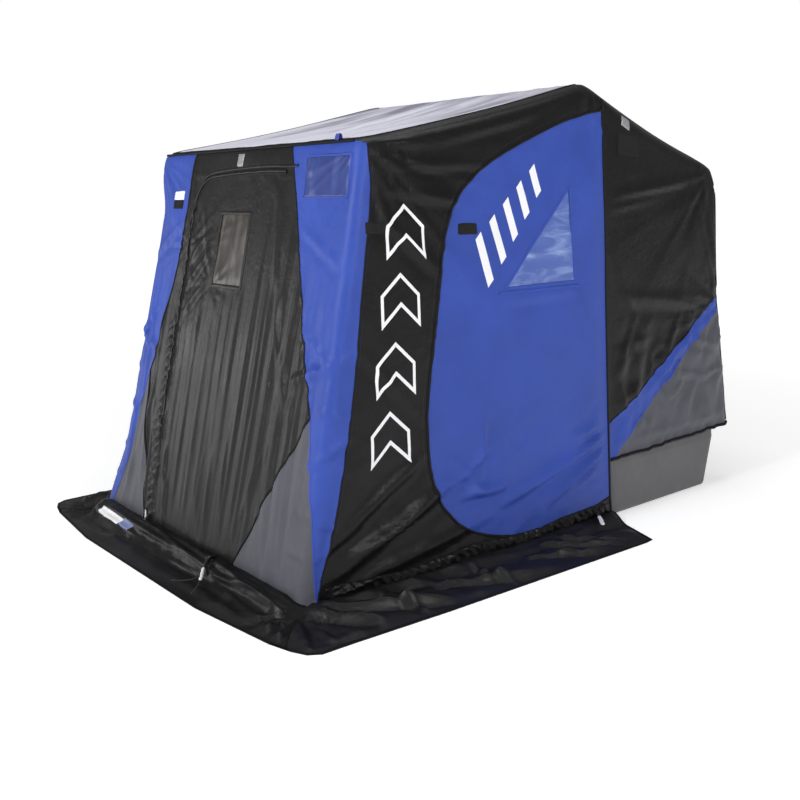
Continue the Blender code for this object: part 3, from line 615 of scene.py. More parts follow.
def on_ground(p, lift=0.0):
    """The skirt: (x, y) on the ground, falling from the wall's foot and rumpled."""
    far, along = to_path(p, SKIRT_IN)
    edge, _ = to_path(p, SKIRT_EDGE)
    q = np.stack([np.abs(p[:, 0]), p[:, 1]], 1)
    calm = 1 - 0.65 * smooth(0.62 - q[:, 0], 0.0, 0.25) * smooth(-p[:, 1], 0.0, 0.05)
    w = 0.012 * creases(along / 0.20 + far * 4, far / 0.14, 70) * smooth(far, 0.0, 0.03) * calm
    w += 0.012 * creases(along / 0.55, far / 0.055 + along * 0.6, 71) * calm
    w += fan(q, (0.84, 0.0), 0.26, 0.026, 11, 72)
    w += 0.007 * creases(along / 0.80 + 7, far / 0.065 - along * 0.5, 73) * smooth(far, 0.02, 0.06)
    w += folds(q,
        ((0.86, 0.06), (1.08, 0.55), 0.020, 0.034), ((0.85, 0.02), (1.07, 0.22), 0.018, 0.030),
        ((0.90, 0.50), (1.12, 0.98), 0.022, 0.030), ((0.93, 1.00), (1.14, 1.40), 0.020, 0.028),
        ((0.88, 0.34), (1.10, 0.40), 0.016, 0.024), ((0.90, 0.80), (1.13, 0.84), 0.016, 0.022),
        ((0.90, 1.18), (1.15, 1.58), 0.016, 0.024), ((0.86, -0.02), (0.98, -0.13), 0.016, 0.020),
        ((0.20, -0.06), (0.95, -0.14), 0.020, 0.014), ((0.89, 1.30), (1.14, 1.62), 0.014, 0.018))
    w = np.maximum(w, -0.2 * w) * smooth(edge, 0.004, 0.05)
    z = 0.0030 + 0.034 * (1 - smooth(far, 0.0, 0.11)) + w * 0.9
    return np.stack([p[:, 0], p[:, 1] - MID_Y, np.maximum(z + lift, 0.0022)], 1)


DOOR_CURVE = eased(DOOR[1:] + DOOR[:1])
_feet = [(float(wall_x(y, 0.0)), y) for y in np.linspace(SEAM_Y, 0.10, 12)]
_feet += arc(0.73, 0.10, 0.10, 0, -90, 5)
SKIRT_IN = _feet + [(-x, y) for x, y in reversed(_feet)]
SKIRT_EDGE = [(-x, y) for x, y in reversed(SKIRT_OUT)] + [(-0.5, SKIRT_FRONT_Y), (0.5, SKIRT_FRONT_Y)]
SKIRT_EDGE += SKIRT_OUT


# ---- materials ----
def new_material(name, color, rough, spec=0.5, metal=0.0, sheen=0.0):
    """A material and its Principled shader."""
    mat = bpy.data.materials.new(name)
    mat.use_nodes = True
    shader = mat.node_tree.nodes["Principled BSDF"]
    for key, value in (("Base Color", (*color, 1)), ("Roughness", rough), ("Specular IOR Level", spec),
                       ("Metallic", metal), ("Sheen Weight", sheen), ("Sheen Roughness", 0.4)):
        shader.inputs[key].default_value = value
    return mat, shader


def node(mat, kind, **values):
    """A new shader node. Each value goes to the input of that name, or else to the setting."""
    made = mat.node_tree.nodes.new("ShaderNode" + kind)
    for key, value in values.items():
        if key in made.inputs:
            made.inputs[key].default_value = value
        else:
            setattr(made, key, value)
    return made


def tie(mat, a, out, b, into):
    """Links an output of one node to an input of another."""
    mat.node_tree.links.new(a.outputs[out], b.inputs[into])


def coloured(mat, shader, source, out, stops):
    """Colours the shader by a value, from stops of (value, colour)."""
    ramp = node(mat, "ValToRGB")
    for i, (at, shade) in enumerate(stops):
        ramp.color_ramp.elements[i].position = at
        ramp.color_ramp.elements[i].color = (*shade, 1)
    tie(mat, source, out, ramp, "Fac")
    tie(mat, ramp, "Color", shader, "Base Color")


def bump(mat, source, out, strength, distance, into, under=None):
    """A bump from a value, over another bump if there is one, tied into a node's normal."""
    made = node(mat, "Bump", Strength=strength, Distance=distance)
    tie(mat, source, out, made, "Height")
    if under:
        tie(mat, under, "Normal", made, "Normal")
    if into:
        tie(mat, made, "Normal", into, "Normal")
    return made


def stretched(mat, scale, **values):
    """The object's coordinates, and noise stretched along them."""
    where, stretch = node(mat, "TexCoord"), node(mat, "Mapping")
    stretch.inputs["Scale"].default_value = scale
    tie(mat, where, "Object", stretch, "Vector")
    cloud = node(mat, "TexNoise", Detail=4.0, Roughness=0.6, **values)
    tie(mat, stretch, "Vector", cloud, "Vector")
    return where, cloud


def mottled(mat, shader, color, scale, spread, rough, rough_spread, detail=4.0):
    """Colour and roughness that vary over the surface in soft clouds."""
    where = node(mat, "TexCoord")
    cloud = node(mat, "TexNoise", Scale=scale, Detail=detail, Roughness=0.55)
    tie(mat, where, "Object", cloud, "Vector")
    coloured(mat, shader, cloud, "Fac", [
        (at, [min(1.0, c * gain) for c in color]) for at, gain in ((0.30, 1 - spread), (0.70, 1 + spread))])
    ease = node(mat, "MapRange", **{"From Min": 0.3, "From Max": 0.7,
                                    "To Min": rough - rough_spread, "To Max": rough + rough_spread})
    tie(mat, cloud, "Fac", ease, "Value")
    tie(mat, ease, "Result", shader, "Roughness")
    return where


def woven(name, color, rough=0.55, spec=0.4, sheen=0.25, pitch=0.0016, crinkle=0.5, spread=0.10):
    """Woven nylon: warp and weft threads, a fine crinkle, and soft colour variation."""
    mat, shader = new_material(name, color, rough, spec, sheen=sheen)
    where = mottled(mat, shader, color, 5.0, spread, rough, 0.05)
    turn = node(mat, "VectorMath", operation="DOT_PRODUCT")
    turn.inputs[1].default_value = (0.92, 1.0, 0.0)
    tie(mat, where, "Object", turn, 0)
    across = node(mat, "CombineXYZ")
    tie(mat, turn, "Value", across, "X")
    scale = 2 * math.pi / (20 * pitch)
    warp = node(mat, "TexWave", Scale=scale, Distortion=0.4)
    weft = node(mat, "TexWave", Scale=scale, Distortion=0.4, bands_direction="Z")
    tie(mat, across, "Vector", warp, "Vector")
    tie(mat, where, "Object", weft, "Vector")
    threads = node(mat, "Math", operation="ADD")
    tie(mat, warp, "Fac", threads, 0)
    tie(mat, weft, "Fac", threads, 1)
    fine = bump(mat, threads, "Value", 0.10, 0.0004, None)
    wrinkle = node(mat, "TexNoise", Scale=34.0, Detail=5.0, Roughness=0.6, Distortion=0.6)
    tie(mat, where, "Object", wrinkle, "Vector")
    bump(mat, wrinkle, "Fac", crinkle, 0.004, shader, fine)
    return mat


def grained(name, color, rough, scale, relief, distance, spread=0.08, spec=0.5, metal=0.0, cloud=6.0):
    """A moulded, painted or plated finish: grain in the bump, and soft wear in colour and roughness."""
    mat, shader = new_material(name, color, rough, spec, metal)
    where = mottled(mat, shader, color, cloud, spread, rough, 0.06, 6.0)
    grain = node(mat, "TexNoise", Scale=scale, Detail=3.0, Roughness=0.7)
    tie(mat, where, "Object", grain, "Vector")
    bump(mat, grain, "Fac", relief, distance, shader)
    return mat


def streaked(name, pale, dark):
    """Coated roof cloth, streaked along its length and darker towards the peak."""
    mat = woven(name, pale, 0.55, 0.25, 0.0, spread=0.0, crinkle=0.4)
    shader = mat.node_tree.nodes["Principled BSDF"]
    where, lines = stretched(mat, (9.0, 1.1, 2.0), Scale=1.0, Distortion=0.4)
    split = node(mat, "SeparateXYZ")
    tie(mat, where, "Object", split, "Vector")
    near = node(mat, "MapRange", **{"From Min": -0.7, "From Max": 0.35, "To Min": -0.16, "To Max": 0.10})
    tie(mat, split, "Y", near, "Value")
    total = node(mat, "Math", operation="ADD")
    tie(mat, lines, "Fac", total, 0)
    tie(mat, near, "Result", total, 1)
    coloured(mat, shader, total, "Value", [(0.42, pale), (0.66, dark)])
    return mat


def vinyl(name, color, rough, clear, streak, direction):
    """Flexible window film, rippled, with pale streaks painted into its colour along the ripples as highlights."""
    mat, shader = new_material(name, color, rough, 0.6)
    shader.inputs["Transmission Weight"].default_value = clear
    shader.inputs["IOR"].default_value = 1.45
    _, waves = stretched(mat, direction, Scale=9.0, Distortion=0.7)
    # Painted highlight: the ripple noise lightens the film's colour towards the pale streak colour.
    coloured(mat, shader, waves, "Fac", [(0.48, color), (0.74, streak)])
    bump(mat, waves, "Fac", 0.25, 0.003, shader)
    return mat


BLACK, BLUE, GREY = (0.0042, 0.0038, 0.0044), (0.027, 0.062, 0.325), (0.068, 0.070, 0.086)
M = {
    "black": woven("nylon_black", BLACK, 0.38, 0.22, 0.0, spread=0.18),
    # Painted light: "front" is a paler copy of the same black nylon, standing for the brighter light and highlights on
    # the front wall and its door.
    "front": woven("nylon_black_front_painted_light", (0.0080, 0.0070, 0.0077), 0.40, 0.28, 0.0, spread=0.18),
    "blue": woven("nylon_blue", BLUE, 0.50, 0.26, 0.03, spread=0.10),
    "grey": woven("oxford_grey", GREY, 0.50, 0.35, 0.06, pitch=0.0022, spread=0.10),
    "skirt": woven("coated_nylon_skirt", (0.0070, 0.0064, 0.0072), 0.42, 0.34, 0.0, crinkle=0.4,
                   spread=0.2),
    "roof": streaked("silver_coated_roof", (0.66, 0.66, 0.76), (0.24, 0.23, 0.30)),
    "label": woven("label_blue", (0.16, 0.19, 0.36), 0.45, 0.4, 0.0, spread=0.1, crinkle=0.3),
    "print": woven("white_print", (0.80, 0.80, 0.82), 0.45, 0.4, 0.0, spread=0.02, crinkle=0.3),
    "tape": woven("binding_tape", (0.0045, 0.0042, 0.0048), 0.60, 0.20, 0.0, pitch=0.0024, spread=0.15),
    "web": woven("webbing_blue", (0.030, 0.060, 0.36), 0.55, 0.35, 0.15, pitch=0.003, spread=0.1),
    "reflect": grained("reflective_tape", (0.27, 0.27, 0.29), 0.40, 900.0, 0.4, 0.0006, 0.06, 0.5, 0.2),
    "hook": grained("hook_and_loop", (0.012, 0.012, 0.012), 0.85, 700.0, 1.0, 0.0020, 0.3, 0.2),
    # Painted highlight: each film's second colour is the pale colour of highlights painted along its ripples.
    "pane": vinyl("window_film_front", (0.026, 0.022, 0.019), 0.40, 0.0, (0.095, 0.086, 0.074),
                  (1.5, 1.0, 0.5)),
    # Painted light: the side film's blue stands for the far side's blue cloth, lit from outside, seen through it.
    "side_pane": vinyl("window_film_side", (0.080, 0.135, 0.42), 0.34, 0.10, (0.26, 0.36, 0.66),
                       (1.0, 0.5, 2.2)),
    "pocket": vinyl("pocket_film", (0.018, 0.036, 0.175), 0.42, 0.0, (0.042, 0.070, 0.25), (3.0, 1.0, 0.5)),
    "coil": grained("zip_coil", (0.012, 0.012, 0.012), 0.40, 300.0, 0.3, 0.0008, 0.2),
    "pull": grained("nickel_pull", (0.80, 0.80, 0.82), 0.38, 260.0, 0.2, 0.0006, 0.08, 0.5, 0.25),
    "metal": grained("zinc_plate", (0.62, 0.62, 0.63), 0.30, 260.0, 0.2, 0.0006, 0.12, 0.5, 1.0),
    "steel": grained("black_powder_coat", (0.022, 0.022, 0.024), 0.45, 700.0, 0.35, 0.0008, 0.25),
    "collar": grained("collar_plastic", (0.015, 0.015, 0.016), 0.50, 500.0, 0.3, 0.0008, 0.2),
    "sled": grained("rotomoulded_sled", (0.098, 0.094, 0.101), 0.58, 210.0, 0.55, 0.0022, 0.16, 0.4,
                    cloud=9.0),
    "seat": grained("seat_vinyl", (0.020, 0.020, 0.022), 0.42, 330.0, 0.5, 0.0012, 0.15),
    "welt": grained("seat_welt", (0.030, 0.060, 0.30), 0.45, 330.0, 0.4, 0.0010, 0.1),
    "thread": woven("thread", (0.045, 0.045, 0.048), 0.6, 0.3, 0.2, pitch=0.0010, spread=0.1),
    "cord": woven("pull_cord", (0.014, 0.014, 0.014), 0.6, 0.3, 0.2, pitch=0.0014, spread=0.1),
}

# ---- riding and folding ----
HUB_AT = (0.0, HUB[0] - MID_Y, HUB[1])
CORNERS = {"ground": PROFILE[0] + (0.036, 0.035), "front": PROFILE[1], "peak": PROFILE[2],
           "rear": PROFILE[3]}


def bow_normal(bow):
    """Direction across the plane of a bow and the hub."""
    y, z = CORNERS[bow]
    angle = math.atan2(z - HUB[1], HUB[0] - y)
    return (0.0, -math.sin(angle), -math.cos(angle))


class Part:
    """Where a piece goes: its name, its body and the bow that it folds to. A stretch of cloth also
    has the CAD node that it replaces, how it's held, and the bows that it lies on."""

    def __init__(self, name, body, bow, stands_for=None, held=None, bows=()):
        self.name, self.body, self.bow, self.stands_for = name, body, bow, stands_for
        self.held, self.rests_on = held, [b + "_bow" for b in bows]

    def take(self, obj, slot=None):
        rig.ride(obj, self.body)
        if self.bow:
            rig.squash(obj, "tent_fold", axis=bow_normal(self.bow), anchor=HUB_AT, keep=0.03)
        if slot:
            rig.slot(obj, slot)
        return obj


# ---- meshes ----
def inside(p, ring):
    """Whether each point is inside a ring."""
    found = np.zeros(len(p), bool)
    for (ax, ay), (bx, by) in zip(ring, list(ring[1:]) + [ring[0]]):
        if ay != by:
            hit = ((ay > p[:, 1]) != (by > p[:, 1])) & (
                p[:, 0] < ax + (bx - ax) * (p[:, 1] - ay) / (by - ay))
            found ^= hit
    return found


def filled(rings, step, lines=()):
    """Points and triangles over the first ring less the others, none crossing a line."""
    def wanted(q):
        found = inside(q, rings[0])
        for hole in rings[1:]:
            found &= ~inside(q, hole)
        return found

    chains = [sampled(r, step, True) for r in rings] + [sampled(q, step) for q in lines]
    points, edges = [], []
    for i, chain in enumerate(chains):
        n0, n = len(points), len(chain)
        points += chain
        edges += [(n0 + k, n0 + (k + 1) % n) for k in range(n if i < len(rings) else n - 1)]
    rim = np.array(points)
    (u0, v0), (u1, v1) = rim.min(0), rim.max(0)
    grid = []
    for k, v in enumerate(np.arange(v0 + step / 2, v1, step * 0.866)):
        grid += [(u, v) for u in np.arange(u0 + step * (0.25 + 0.5 * (k % 2)), u1, step)]
    grid = np.array(grid).reshape(-1, 2)
    grid = grid[wanted(grid)]
    clear = np.array([((rim - g) ** 2).sum(1).min() > (0.45 * step) ** 2 for g in grid], bool)
    points += [tuple(g) for g in grid[clear]] if len(grid) else []
    flat, _, tris, *_ = delaunay_2d_cdt([Vector(q) for q in points], edges, [], 0, 1e-7)
    flat, tris = np.array([tuple(q) for q in flat]), np.array(tris)
    used, index = np.unique(tris[wanted(flat[tris].mean(1))], return_inverse=True)
    return flat[used], index.reshape(-1, 3)


def add(name, data):
    """A new object in the scene."""
    obj = bpy.data.objects.new(name, data)
    bpy.context.scene.collection.objects.link(obj)
    return obj


def link(name, points, faces, mats, choice=None):
    """A smooth-shaded mesh in the scene. choice gives each face's place in mats."""
    mesh = bpy.data.meshes.new(name)
    mesh.from_pydata([tuple(p) for p in points], [], [tuple(int(i) for i in f) for f in faces])
    for mat in mats:
        mesh.materials.append(M[mat])
    if choice is not None:
        mesh.polygons.foreach_set("material_index", np.asarray(choice, np.int32))
    mesh.shade_smooth()
    return add(name, mesh)


def outward(points, faces, centre):
    """The faces turned so that the sheet faces away from the centre."""
    a, b, c = (points[faces[:, i]] for i in range(3))
    n = np.cross(b - a, c - a)
    return faces if (n * ((a + b + c) / 3 - centre)).sum() > 0 else faces[:, ::-1]


def face_out(obj):
    """Closes any open end of a mesh and turns its faces outward."""
    bm = bmesh.new()
    bm.from_mesh(obj.data)
    open_edges = [e for e in bm.edges if e.is_boundary]
    if open_edges:
        bmesh.ops.holes_fill(bm, edges=open_edges)
    bmesh.ops.recalc_face_normals(bm, faces=bm.faces)
    bm.to_mesh(obj.data)
    bm.free()


def point_normals(points, tris):
    """The mean normal of the triangles round each point."""
    n = np.zeros_like(points)
    face = np.cross(points[tris[:, 1]] - points[tris[:, 0]], points[tris[:, 2]] - points[tris[:, 0]])
    for k in range(3):
        np.add.at(n, tris[:, k], face)
    return n / np.maximum(np.linalg.norm(n, axis=1), 1e-12)[:, None]


def layered(name, points, normals, tris, mats, choice, thick):
    """A closed sheet: the outer face, the inner face and the rim between them. Its normals
    come from the whole cloth, so that no shading line shows where a stretch ends."""
    used, index = np.unique(tris, return_inverse=True)
    tris, n = index.reshape(-1, 3), len(used)
    p, nn = points[used], normals[used]
    ends = np.concatenate([tris[:, [0, 1]], tris[:, [1, 2]], tris[:, [2, 0]]])
    owner = np.tile(np.arange(len(tris)), 3)
    there = set(map(tuple, ends))
    rim = [(a, b, o) for (a, b), o in zip(map(tuple, ends), owner) if (b, a) not in there]
    faces = [tuple(t) for t in tris] + [tuple(t[::-1] + n) for t in tris]
    faces += [(b, a, a + n, b + n) for a, b, _ in rim]
    choice = np.concatenate([choice, choice, [choice[o] for _, _, o in rim]])
    obj = link(name, np.concatenate([p, p - thick * nn]), faces, mats, choice)
    obj.data.normals_split_custom_set_from_vertices([tuple(q) for q in np.concatenate([nn, -nn])])
    return obj


def flat_size(uv, tris):
    """Width, length and area of the flat cut, in its tightest upright or turned box."""
    a, b, c = (uv[tris[:, i]] for i in range(3))
    area = 0.5 * np.abs(np.cross(b - a, c - a)).sum()
    p, best = uv[np.unique(tris)], None
    for turn in np.radians(np.arange(0, 90, 5)):
        q = p @ np.array([[math.cos(turn), -math.sin(turn)], [math.sin(turn), math.cos(turn)]])
        size = q.max(0) - q.min(0)
        if best is None or size.prod() < best.prod():
            best = size
    if area < 0.35 * best.prod():       # a curved band, measured along itself
        best = np.array([area / best.max(), best.max()])
    return (float(best.min()), float(best.max())), float(min(area, best.prod()))


def cloth(face, rings, mats, parts, lines=(), paint=None, which=None, step=STEP, centre=CENTRE,
          slot="fabric_black", metric=(1.0, 1.0)):
    """Cloth over a wall, cut into the parts that fold with different bows."""
    flat, tris = filled(rings, step, lines)
    points = face(flat)
    tris = outward(points, tris, np.array(centre))
    normals, middle = point_normals(points, tris), flat[tris].mean(1)
    mine = which(middle) if which else np.zeros(len(tris), int)
    choice = paint(middle) if paint else np.zeros(len(tris), int)
    for i, part in enumerate(parts):
        sel = mine == i
        obj = layered(part.name, points, normals, tris[sel], mats, choice[sel], CLOTH_T)
        part.take(obj, slot)
        if part.stands_for:
            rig.replaces(obj, part.stands_for)
        size, area = flat_size(flat * metric, tris[sel])
        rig.sheet(obj, flat=size, held=part.held, rests_on=part.rests_on, area=area)


def film(name, face, ring, step, ripple, sink, mat, part, stands_for, cloth_name):
    """A window's film, rippled and set a little inside the cloth that it's sewn to."""
    flat, tris = filled([ring], step)
    points = face(flat, ripple(*flat.T) - sink)
    tris = outward(points, tris, CENTRE)
    obj = part.take(layered(name, points, point_normals(points, tris), tris, [mat],
                            np.zeros(len(tris), int), 0.0008), "window_vinyl")
    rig.replaces(obj, stands_for)
    size, area = flat_size(flat, tris)
    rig.sheet(obj, flat=size, held="stretched", rests_on=[cloth_name], area=area)


def sewn(name, points, faces, mat, part, centre=CENTRE):
    """A single surface that faces away from the centre, placed with its part."""
    faces = outward(points, np.array(faces), np.array(centre))
    part.take(link(name, points, faces, [mat]))


def grid_faces(rows, n, closed=False, round_=False):
    """Quads between rows of n points. closed joins each row's last point to its first, and round_
    joins the last row to the first."""
    return [(i + a * n, (i + 1) % n + a * n, (i + 1) % n + (a + 1) % rows * n, i + (a + 1) % rows * n)
            for a in range(rows if round_ else rows - 1) for i in range(n if closed else n - 1)]


def band(name, face, path, width, mat, part, lift=0.002, closed=False, step=0.012, centre=CENTRE,
         gather=0.0, pitch=0.012):
    """A tape sewn along a path on a face, crowned, its edges turned down. gather ruffles it."""
    path = np.array(sampled(path, step, closed))
    side, along = leftward(headings(path, closed)), run_of(path)
    gathers = gather * (0.5 + 0.5 * creases(along / pitch, along * 0 + 0.5, 90))
    rows = [face(path + side * off * width, up + gathers * (abs(off) < 0.4))
            for off, up in ((-0.5, -0.003), (-0.46, lift * 0.6), (-0.25, lift), (0.0, lift * 1.15),
                            (0.25, lift), (0.46, lift * 0.6), (0.5, -0.003))]
    sewn(name, np.concatenate(rows), grid_faces(len(rows), len(path), closed), mat, part, centre)


def patch(name, face, ring, mat, part, lift, centre=CENTRE, wave=0.0):
    """A piece of film or cloth sewn on a face, its rim turned down on to it."""
    flat, tris = filled([ring], 0.008)
    rim, _ = to_path(flat, ring + ring[:1])
    up = lift * smooth(rim, 0.0, 0.004) - 0.0008 * (rim < 1e-6)
    if wave:
        up = up + wave * creases(flat[:, 0] * 9, flat[:, 1] * 7, 91) * smooth(rim, 0.0, 0.03)
    sewn(name, face(flat, up), tris, mat, part, centre)


def tube(name, path, radius, mat, part, sides=10, closed=False):
    """A round cord or piping along points in the frame. radius may vary along it."""
    p = np.array(path, float)
    radius = np.broadcast_to(np.asarray(radius, float), len(p))[:, None]
    ahead = headings(p, closed)
    ahead /= np.maximum(np.linalg.norm(ahead, axis=1), 1e-9)[:, None]
    ref = np.array([0.0, 0.0, 1.0]) if np.abs(ahead[:, 2]).mean() < 0.8 else np.array([1.0, 0.0, 0.0])
    a = np.cross(ahead, ref)
    a /= np.maximum(np.linalg.norm(a, axis=1), 1e-9)[:, None]
    b = np.cross(a, ahead)
    turns = np.linspace(0, 2 * np.pi, sides, endpoint=False)
    points = np.concatenate([p + radius * (math.cos(t) * a + math.sin(t) * b) for t in turns])
    n = len(p)
    faces = [f[::-1] for f in grid_faces(sides, n, closed, True)]
    if not closed:
        faces += [tuple(k * n for k in range(sides)), tuple(k * n + n - 1 for k in reversed(range(sides)))]
    obj = link(name, points, faces, [mat])
    face_out(obj)
    return part.take(obj)


def ruffle(name, face, path, width, height, pitch, slant, mat, part, seed, low=-1.0):
    """A gathered flap sewn along a path, its folds slanting across it."""
    path, rows = np.array(sampled(path, pitch / 9)), 13
    side, along = leftward(headings(path)), run_of(path)
    taper = smooth(along, 0.0, 0.14) * smooth(along[-1] - along, 0.0, 0.05)
    made = []
    for off in np.linspace(-0.5, 0.5, rows):
        at = along / pitch + slant * off + 0.35 * noise(along / (2.2 * pitch), along * 0 + off * 1.5, seed)
        swell = 0.6 + 0.4 * noise(along / (3 * pitch), along * 0 + off * 2, seed + 1)
        crown = math.cos(math.pi * off) ** 0.6 if abs(off) < 0.499 else 0.0
        up = crown * taper * height * (0.45 + swell * (1 - np.abs(np.sin(math.pi * at)) ** 0.6))
        up = up - 0.003 * (crown == 0)
        made.append(face(path + side * (off * width * (0.85 + 0.3 * swell))[:, None], up))
    points = np.concatenate(made)
    points[:, 2] = np.maximum(points[:, 2], low)
    sewn(name, points, grid_faces(rows, len(path)), mat, part)


def on_path(face, path, lift, step=0.01):
    """Points of a face along a path."""
    return face(np.array(sampled(path, step)), lift)


def stitches(name, face, path, part, closed=False, mat="thread", lift=0.0026):
    """A row of thread stitches: each is a small pointed bar that dips into the cloth at both ends."""
    pitch, size, rise = 0.0075, 0.0042, 0.0006
    path = sampled(path, pitch, closed)
    at, ahead = np.array(path[:-1]), np.diff(np.array(path), axis=0)
    ahead /= np.maximum(np.hypot(*ahead.T), 1e-9)[:, None]
    half = ahead * size / 2
    side = leftward(ahead) * rise
    rows = [face(at - half, lift - 2 * rise), face(at - side, lift), face(at + side, lift),
            face(at, lift + rise), face(at + half, lift - 2 * rise)]
    n = len(at)
    faces = [f for i in range(n) for f in (
        (i, i + n, i + 3 * n), (i + n, i + 4 * n, i + 3 * n), (i + 4 * n, i + 2 * n, i + 3 * n),
        (i + 2 * n, i, i + 3 * n), (i, i + 2 * n, i + n), (i + 2 * n, i + 4 * n, i + n))]
    obj = link(name, np.concatenate(rows), faces, [mat])
    face_out(obj)
    part.take(obj)


# ---- where each stretch of cloth rides ----
REAR_SPLIT = 0.88                   # metres from the hub to the split in the rear side cloth
# Each stretch of cloth: its key in P, then what Part() takes. A * stands for the side, R or L.
CLOTHS = (
    ("front", "front_wall", "front_top", "front", "front_panel", "stretched", ("front", "ground")),
    ("door", "front_door_cloth", "front_door_flap", "front", "front_door", "hung", ("front",)),
    ("sill", "ground_sleeve", "ground_top", "ground", "front_sill", "stretched", ("ground",)),
    ("roof_1", "roof_cloth_front", "peak_top", "peak", "roof_front", "stretched", ("front", "peak")),
    ("roof_2", "roof_cloth_rear", "rear_top", "rear", "roof_rear", "stretched", ("peak", "rear")),
    ("rear", "rear_wall", "rear_top", "rear", "rear_panel", "hung", ("rear",)),
    ("skirt_0", "skirt_cloth_front", "ground_top", "ground", "skirt_front", "laid", ()),
    ("strip*", "corner_cloth_*", "front_top", "front", "corner_panel_*", "stretched", ("front", "ground")),
    ("side_0*", "side_cloth_foot_*", "ground_arms", "ground", None, "stretched", ("ground",)),
    ("side_1*", "side_cloth_low_*", "ground_top", "ground", "side_front_*", "stretched", ("ground",)),
    ("side_2*", "side_cloth_high_*", "front_top", "front", None, "stretched", ("front",)),
    ("side_3*", "side_cloth_top_*", "peak_top", "peak", None, "stretched", ("peak",)),
    ("door*", "side_door_cloth_*", "side_door_flap_*", "peak", "side_door_*", "hung", ("peak",)),
    ("rear_0*", "rear_side_cloth_low_*", "rear_arms", "rear", "side_rear_*", "stretched", ("rear",)),
    ("rear_1*", "rear_side_cloth_high_*", "rear_top", "rear", None, "stretched", ("rear", "peak")),
    ("skirt_1*", "skirt_cloth_fore_*", "ground_top", "ground", "skirt_side_*", "laid", ()),
    ("skirt_2*", "skirt_cloth_aft_*", "ground_arms", "ground", None, "laid", ()),
)
P = {}
for _row in CLOTHS:
    for _t in TAG.values() if "*" in _row[0] else [""]:
        _key, *_rest = [c.replace("*", _t) if isinstance(c, str) else c for c in _row]
        P[_key] = Part(*_rest)
MATS = ["black", "blue", "grey", "print"]
IN_BLACK, IN_BLUE, IN_GREY, IN_WHITE = range(4)


def stage():
    """A white floor and world, and four lamps."""
    mat, shader = new_material("studio_floor", (0.86, 0.86, 0.86), 0.65, 0.2)
    shader.inputs["Emission Color"].default_value = (1, 1, 1, 1)
    # The lamps fall off with distance, and the floor's own glow makes up for it.
    where, far = node(mat, "TexCoord"), node(mat, "VectorMath", operation="LENGTH")
    glow = node(mat, "MapRange", **{"From Min": 1.8, "From Max": 8.0, "To Min": 0.40, "To Max": 0.86})
    tie(mat, where, "Object", far, 0)
    tie(mat, far, "Value", glow, "Value")
    tie(mat, glow, "Result", shader, "Emission Strength")
    mesh = bpy.data.meshes.new("floor")
    size = 40.0
    mesh.from_pydata([(x, y, 0) for x, y in rect(-size, -size, size, size)], [], [(0, 1, 2, 3)])
    mesh.materials.append(mat)
    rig.stage(add("floor", mesh))
    world = bpy.data.worlds.new("studio")
    world.use_nodes = True
    seen, lit = world.node_tree.nodes["Background"], world.node_tree.nodes.new("ShaderNodeBackground")
    for part, strength in ((seen, 1.0), (lit, 0.27)):
        part.inputs["Color"].default_value = (1.0, 1.0, 1.0, 1)
        part.inputs["Strength"].default_value = strength
    ray, mix = (world.node_tree.nodes.new("ShaderNode" + kind) for kind in ("LightPath", "MixShader"))
    for a, b in ((ray.outputs["Is Camera Ray"], mix.inputs[0]), (lit.outputs[0], mix.inputs[1]),
                 (seen.outputs[0], mix.inputs[2]),
                 (mix.outputs[0], world.node_tree.nodes["World Output"].inputs["Surface"])):
        world.node_tree.links.new(a, b)
    bpy.context.scene.world = world
    bpy.context.scene.view_settings.view_transform = "Standard"
    for name, at, size, watts, aim in (("key", (0.8, -6.8, 3.6), 1.2, 285, (0, 0, 0.9)),
                                       ("side", (6.2, -0.4, 3.6), 1.2, 165, (0.5, 0.2, 0.8)),
                                       ("edge", (-4.6, -4.1, 1.2), 1.0, 36, (-0.3, -1.0, 0.7)),
                                       ("top", (0.0, 0.5, 6.5), 3.0, 90, (0, 0.2, 0))):
        light = bpy.data.lights.new(name, "AREA")
        light.size, light.energy = size, watts
        obj = add(name, light)
        obj.location = at
        obj.rotation_euler = (Vector(aim) - Vector(at)).to_track_quat("-Z", "Y").to_euler()


def camera():
    """The photograph's view, 49 degrees round and 7 down."""
    turn, down = math.radians(49.31), math.radians(6.82)
    ahead = Vector((-math.sin(turn) * math.cos(down), math.cos(turn) * math.cos(down), -math.sin(down)))
    right = Vector((math.cos(turn), math.sin(turn), 0))
    up = right.cross(ahead)
    data = bpy.data.cameras.new("camera")
    data.lens, data.sensor_width, data.shift_y = 43.05, 36.0, -0.10
    obj = add("camera", data)
    obj.matrix_world = Matrix.Translation((3.559, -3.139, 1.480)) @ Matrix(
        (right, up, -ahead)).transposed().to_4x4()
    bpy.context.scene.camera = obj


def chevron(cy, cz, w, h, rise):
    """An upward arrowhead: its tip's underside at (cy, cz), half its width, its drop and its height."""
    return [(cy - w, cz - h), (cy, cz), (cy + w, cz - h),
            (cy + w, cz - h + rise), (cy, cz + rise), (cy - w, cz - h + rise)]


def slash(cy, cz, length, wide):
    """A slanted bar, standing across a line that rises to the rear."""
    d, n = np.array([-0.30, 0.95]) * length / 2, np.array([0.71, 0.70]) * wide / 2
    c = np.array([cy, cz])
    return [tuple(c - d - n), tuple(c - d + n), tuple(c + d + n), tuple(c + d - n)]


CHEVRON_OUT = [chevron(0.432 + 0.034 * k, 0.575 + 0.262 * k, 0.098, 0.085, 0.130) for k in range(4)]
CHEVRON_IN = [grown(ring, -0.014) for ring in CHEVRON_OUT]
SLASHES = [slash(0.955 + 0.082 * k, 1.262 + 0.082 * k, 0.21 - 0.022 * k, 0.046) for k in range(5)]


